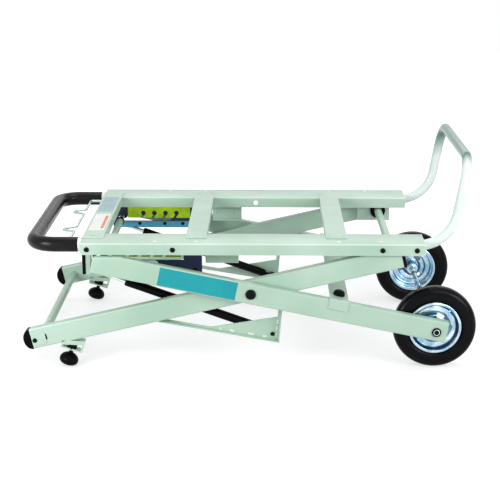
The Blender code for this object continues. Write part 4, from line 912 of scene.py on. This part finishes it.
def hub(word, place, side):
    """The hub's tube, the valve's stem and cap, and the weld nub on the rim."""
    body = word + "_wheel"
    tube = [(-0.0231, 0.0073), (-0.0231, 0.0140), (-0.0205, 0.0154), (0.0205, 0.0154),
            (0.0231, 0.0140), (0.0231, 0.0073)]
    settle(turned(tube, place, radius_mm=0.8, hollow=True), "hub_skin_" + word, "blue_zinc",
           body, ("hub_" + word,))

    def spot(right, out, up):
        return place + Vector((right, side * out, up))

    stem = bent_bar([spot(0.0285, 0.0085, -0.0215), spot(0.0292, 0.0165, -0.0210),
                     spot(0.0425, 0.0171, 0.0010)], (0.004,), 2.2 * MM, 20, True, 12.0)
    run = Vector((0.0133, side * 0.0006, 0.0220)).normalized()
    cap = [(-0.0080, 0), (-0.0080, 0.0026), (-0.0070, 0.0031), (0.0, 0.0031), (0.0008, 0.0022),
           (0.0008, 0)]
    cap_piece = turned(cap, spot(0.0425, 0.0171, 0.0010), run, 0.4, 24)
    settle(join([stem, cap_piece]), "valve_stem_" + word, "blue_zinc", body)
    nub = [(0, 0), (0, 0.0030), (0.0030, 0.0030), (0.0042, 0.0018), (0.0042, 0)]
    reach = 0.0530
    turn = math.radians(47)
    heads("rim_nub_" + word, [spot(reach * math.cos(turn), 0.0040, reach * math.sin(turn))],
          (0, side, 0), nub, "blue_zinc", body, 0.5, 24)


def wheel(side):
    """One wheel: tyre, rim and hub."""
    word = side_word(side)
    place = middle_of("tyre_" + word)
    tyre(word, place)
    rim(word, place, side)
    hub(word, place, side)


def rubbers(side):
    """The foot pad and the strap's bumper, finely turned."""
    word = side_word(side)
    centre = middle_of("foot_pad_" + word) * Vector((1, 1, 0))
    profile = [(0.0030, 0), (0.0030, 0.0110), (0.0055, 0.0185), (0.0110, 0.0228),
               (0.0185, 0.0228), (0.0255, 0.0185), (0.0305, 0.0110), (0.0325, 0.0050),
               (0.0405, 0.0050), (0.0405, 0)]
    pad = turned(profile, centre, (0, 0, 1), 3.0, 64)
    settle(pad, "pad_" + word, "rubber", "inner_frame", ("foot_pad_" + word,), 50)
    tipped_foot([pad], side)
    leg = leg_matrix(OUTER_TURN)
    foot = leg @ Vector((0.2074, side * 0.258, LEG_HALF + 3.6 * MM))
    rise = leg.to_3x3() @ Vector((0, 0, 1))
    profile = [(0, 0), (0, 0.01395), (0.0045, 0.01395), (0.0090, 0.0122), (0.0118, 0.0085),
               (0.0118, 0.0030), (0.0100, 0.0022), (0.0100, 0)]
    settle(turned(profile, foot, rise, 1.4, 52), "bumper_" + word, "rubber", "outer_frame",
           ("strap_bumper_" + word,))


def table_fasteners(side):
    """Bolts, nuts, screws and rivets of the table on one side."""
    word = side_word(side)
    out = (0, side, 0)
    inward = (0, -side, 0)
    up = (0, 0, 1)
    heads("rail_bolts_" + word,
          [(at(x), side * RAIL_OUT, ARM_Z) for x in (-0.388, -0.187, 0.304, 0.384)], out,
          button(6.2 * MM, 3.2 * MM), "black_steel", "table_frame")
    guide_in = side * 0.2195
    guide_out = side * 0.2225
    bolt_xs = [at(x) for x in (-0.3116, -0.2435, -0.1945, -0.1376)]
    bolt_z = 0.2290
    heads("guide_bolts_" + word, [(x, guide_in, bolt_z) for x in bolt_xs], inward,
          button(4.7 * MM, 2.6 * MM), "black_steel", "table_frame")
    heads("guide_nuts_" + word, [(x, guide_out, bolt_z) for x in bolt_xs], out,
          low_head(5.0 * MM, 3.0 * MM), "black_steel", "table_frame", 0.3, 6)
    cross_plates = (-0.1339, 0.1986)
    half_gap = 16.5 * MM
    spots = [(at(x + step), side * 0.2215, PLATE_TOP) for x in cross_plates
             for step in (-half_gap, half_gap)]
    spots.append((at(-0.3793), side * 0.2235, PLATE_TOP))
    heads("plate_screws_" + word, spots, up, low_head(3.8 * MM, 1.0 * MM), "enamel",
          "table_frame", 0.3)
    # the flat rivets are as smooth and white as the vinyl
    rivet_y = side * 0.262
    heads("rail_rivets_" + word,
          [(at(x), rivet_y, RAIL_TOP) for x in (-0.2296, -0.1333, 0.2021, 0.2997)], up,
          low_head(4.2 * MM, 0.5 * MM), "white_vinyl", "table_frame", 0.2)


def leg_fasteners(side):
    """The foot cap's screw, the stay's bolts, the gusset's weld beads, white as painted
    highlights, and the anchor's black strip of painted shade.
    """
    word = side_word(side)
    out = (0, side, 0)
    plate_y = side * (INNER_FACE_Y + 1.5 * MM)
    cap_screw = leg_matrix(INNER_TURN) @ Vector((-0.5312, plate_y, -0.0040))
    heads("cap_screw_" + word, [cap_screw], out, button(5.8 * MM, 2.4 * MM), "black_steel",
          "inner_frame")
    stay_y = side * 0.2105
    heads("stay_bolts_" + word, [(at(x), stay_y, 0.262) for x in (-0.098, -0.052)],
          (0, -side, 0), button(4.4 * MM, 2.4 * MM), "enamel", "table_frame")
    web_y = side * WEB_Y
    # short beads inside the gusset's sloping lower flange, then up its end flange, white as
    # painted highlights
    beads = [(x, web_y, 0.0773 - 0.178 * x)
             for x in (-0.069, -0.044, -0.039, -0.001, 0.004, 0.009, 0.034, 0.039)]
    for x, low_z, high_z in ((0.0650, 0.071, 0.075), (0.0668, 0.089, 0.094),
                             (0.0684, 0.105, 0.110)):
        beads += [(x, web_y, low_z), (x, web_y, high_z)]
    heads("gusset_beads_" + word, beads, out, low_head(2.9 * MM, 1.2 * MM), "collar",
          "inner_frame", 0.9)
    # a black strip of painted shade, where the anchor's open channel lies in shadow
    anchor_y = side * 0.2486
    strip = plate_piece((at(-0.400), anchor_y, 0.2530), (0.008, 0.057),
                        (math.radians(-90 * side), 0, 0), 0.8, 0.8 * MM)
    settle(strip, "anchor_shade_strip_" + word, "plastic", "table_frame")


def panels():
    """Bare panels on the outer legs and on the end plate."""
    thick = 0.25 * MM
    for side in SIDES:
        centre = leg_matrix(OUTER_TURN) @ Vector((-0.127, side * OUTER_FACE_Y, 0))
        turn = (math.radians(-90 * side), -OUTER_TURN, 0)
        settle(plate_piece(centre, (0.186, 0.0440), turn, 0.8, thick),
               "leg_panel_" + side_word(side), "blue_vinyl", "outer_frame")
    x = RAIL_LEFT + 0.02465
    flat = (0, 0, 0)
    for name, shift, y, size, finish, corner_mm, base in (
            ("end_panel_far", 0, 0.093, (0.0377, 0.158), "pale_blue_vinyl", 2.0, 0),
            ("end_panel_near", 0, -0.092, (0.0377, 0.160), "white_vinyl", 2.0, 0),
            ("end_stripe", 0.01185, -0.0925, (0.007, 0.125), "orange_vinyl", 0.6, thick)):
        place = (x + shift, y, PLATE_TOP + base)
        settle(plate_piece(place, size, flat, corner_mm, thick), name, finish, "table_frame")


def seen_ray(tree):
    """1 where the camera, a mirror image or glass shows the surface, or else 0."""
    path = add(tree, "ShaderNodeLightPath")
    seen = add(tree, "ShaderNodeMath", {"operation": "MAXIMUM"},
               {0: path.outputs["Is Camera Ray"], 1: path.outputs["Is Transmission Ray"]})
    return add(tree, "ShaderNodeMath", {"operation": "MAXIMUM"},
               {0: seen.outputs[0], 1: path.outputs["Is Glossy Ray"]}).outputs[0]


def stage():
    """A pale floor that keeps the shadow and whitens away from the stand."""
    bpy.ops.object.select_all(action="DESELECT")
    bpy.ops.mesh.primitive_circle_add(vertices=96, radius=6.0, fill_type="NGON",
                                      location=(0, 0, -0.0004))
    floor = bpy.context.object
    floor.name = "floor"
    bpy.ops.object.transform_apply()
    mat = bpy.data.materials.new("floor_paint")
    mat.use_nodes = True
    tree = mat.node_tree
    shader = tree.nodes["Principled BSDF"]
    for key, value in (("Base Color", linear("c2c2c4")), ("Roughness", 0.9),
                       ("Specular IOR Level", 0.0), ("Emission Color", linear("ffffff"))):
        shader.inputs[key].default_value = value
    place = add(tree, "ShaderNodeTexCoord").outputs["Object"]
    far = add(tree, "ShaderNodeVectorMath", {"operation": "LENGTH"}, {0: place})
    whitening = add(tree, "ShaderNodeMapRange", None,
                    {"Value": far.outputs["Value"], "From Min": 0.60, "From Max": 1.4,
                     "To Min": 0.60, "To Max": 1.0})
    glow = add(tree, "ShaderNodeMath", {"operation": "MULTIPLY"},
               {0: whitening.outputs["Result"], 1: seen_ray(tree)})
    tree.links.new(glow.outputs[0], shader.inputs["Emission Strength"])
    floor.data.materials.append(mat)


def studio():
    """A white surround, which lights the stand less than it shows, and five soft lamps."""
    world = bpy.data.worlds.new("studio")
    bpy.context.scene.world = world
    world.use_nodes = True
    tree = world.node_tree
    back = tree.nodes["Background"]
    back.inputs["Color"].default_value = linear("ffffff")
    level = add(tree, "ShaderNodeMapRange", None,
                {"Value": seen_ray(tree), "To Min": 0.36, "To Max": 1.0})
    tree.links.new(level.outputs["Result"], back.inputs["Strength"])
    for name, place, aim, size, power in (
            ("key", (1.2, -2.3, 1.8), (0, 0, 0.2), (1.4, 1.4), 15),
            ("left", (-1.3, -1.3, 0.7), (-0.4, 0, 0.15), (0.7, 0.7), 17),
            ("right", (1.4, -1.2, 0.7), (0.4, 0, 0.1), (0.7, 0.7), 11),
            ("top", (0.2, 0.2, 2.6), (0, 0, 0.2), (2.2, 1.4), 20),
            ("back", (0.3, 2.3, 1.5), (0.1, 0, 0.2), (2.2, 0.7), 7)):
        light = bpy.data.lights.new(name, "AREA")
        light.shape = "RECTANGLE"
        light.size, light.size_y = size
        light.energy = power
        holder = bpy.data.objects.new(name, light)
        holder.location = place
        holder.rotation_euler = (Vector(aim) - Vector(place)).to_track_quat("-Z", "Y").to_euler()
        bpy.context.scene.collection.objects.link(holder)


def photo_camera():
    """The camera at the photo's viewing angle."""
    down = math.radians(15.629)
    turn = math.radians(0.6985)
    camera = bpy.data.cameras.new("photo_camera")
    camera.lens = 93.6
    camera.sensor_width = 36.0
    holder = bpy.data.objects.new("photo_camera", camera)
    holder.location = (0.03757, -3.20291, 1.11211)
    holder.rotation_euler = (math.radians(90) - down, 0, turn)
    bpy.context.scene.collection.objects.link(holder)
    bpy.context.scene.camera = holder
    bpy.context.scene.view_settings.view_transform = "Standard"


def main():
    """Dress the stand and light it."""
    foot_end_handle()
    wheel_end_handle()
    release_wire()
    table_sheets()
    slide_guides()
    leg_sheets()
    bars()
    panels()
    for side in SIDES:
        foot_cap(side)
        foot_seat(side)
        main_pin(side)
        spring_pin(side)
        axle_nut(side)
        gas_spring(side)
        wheel(side)
        rubbers(side)
        table_fasteners(side)
        leg_fasteners(side)
    stage()
    studio()
    photo_camera()


main()
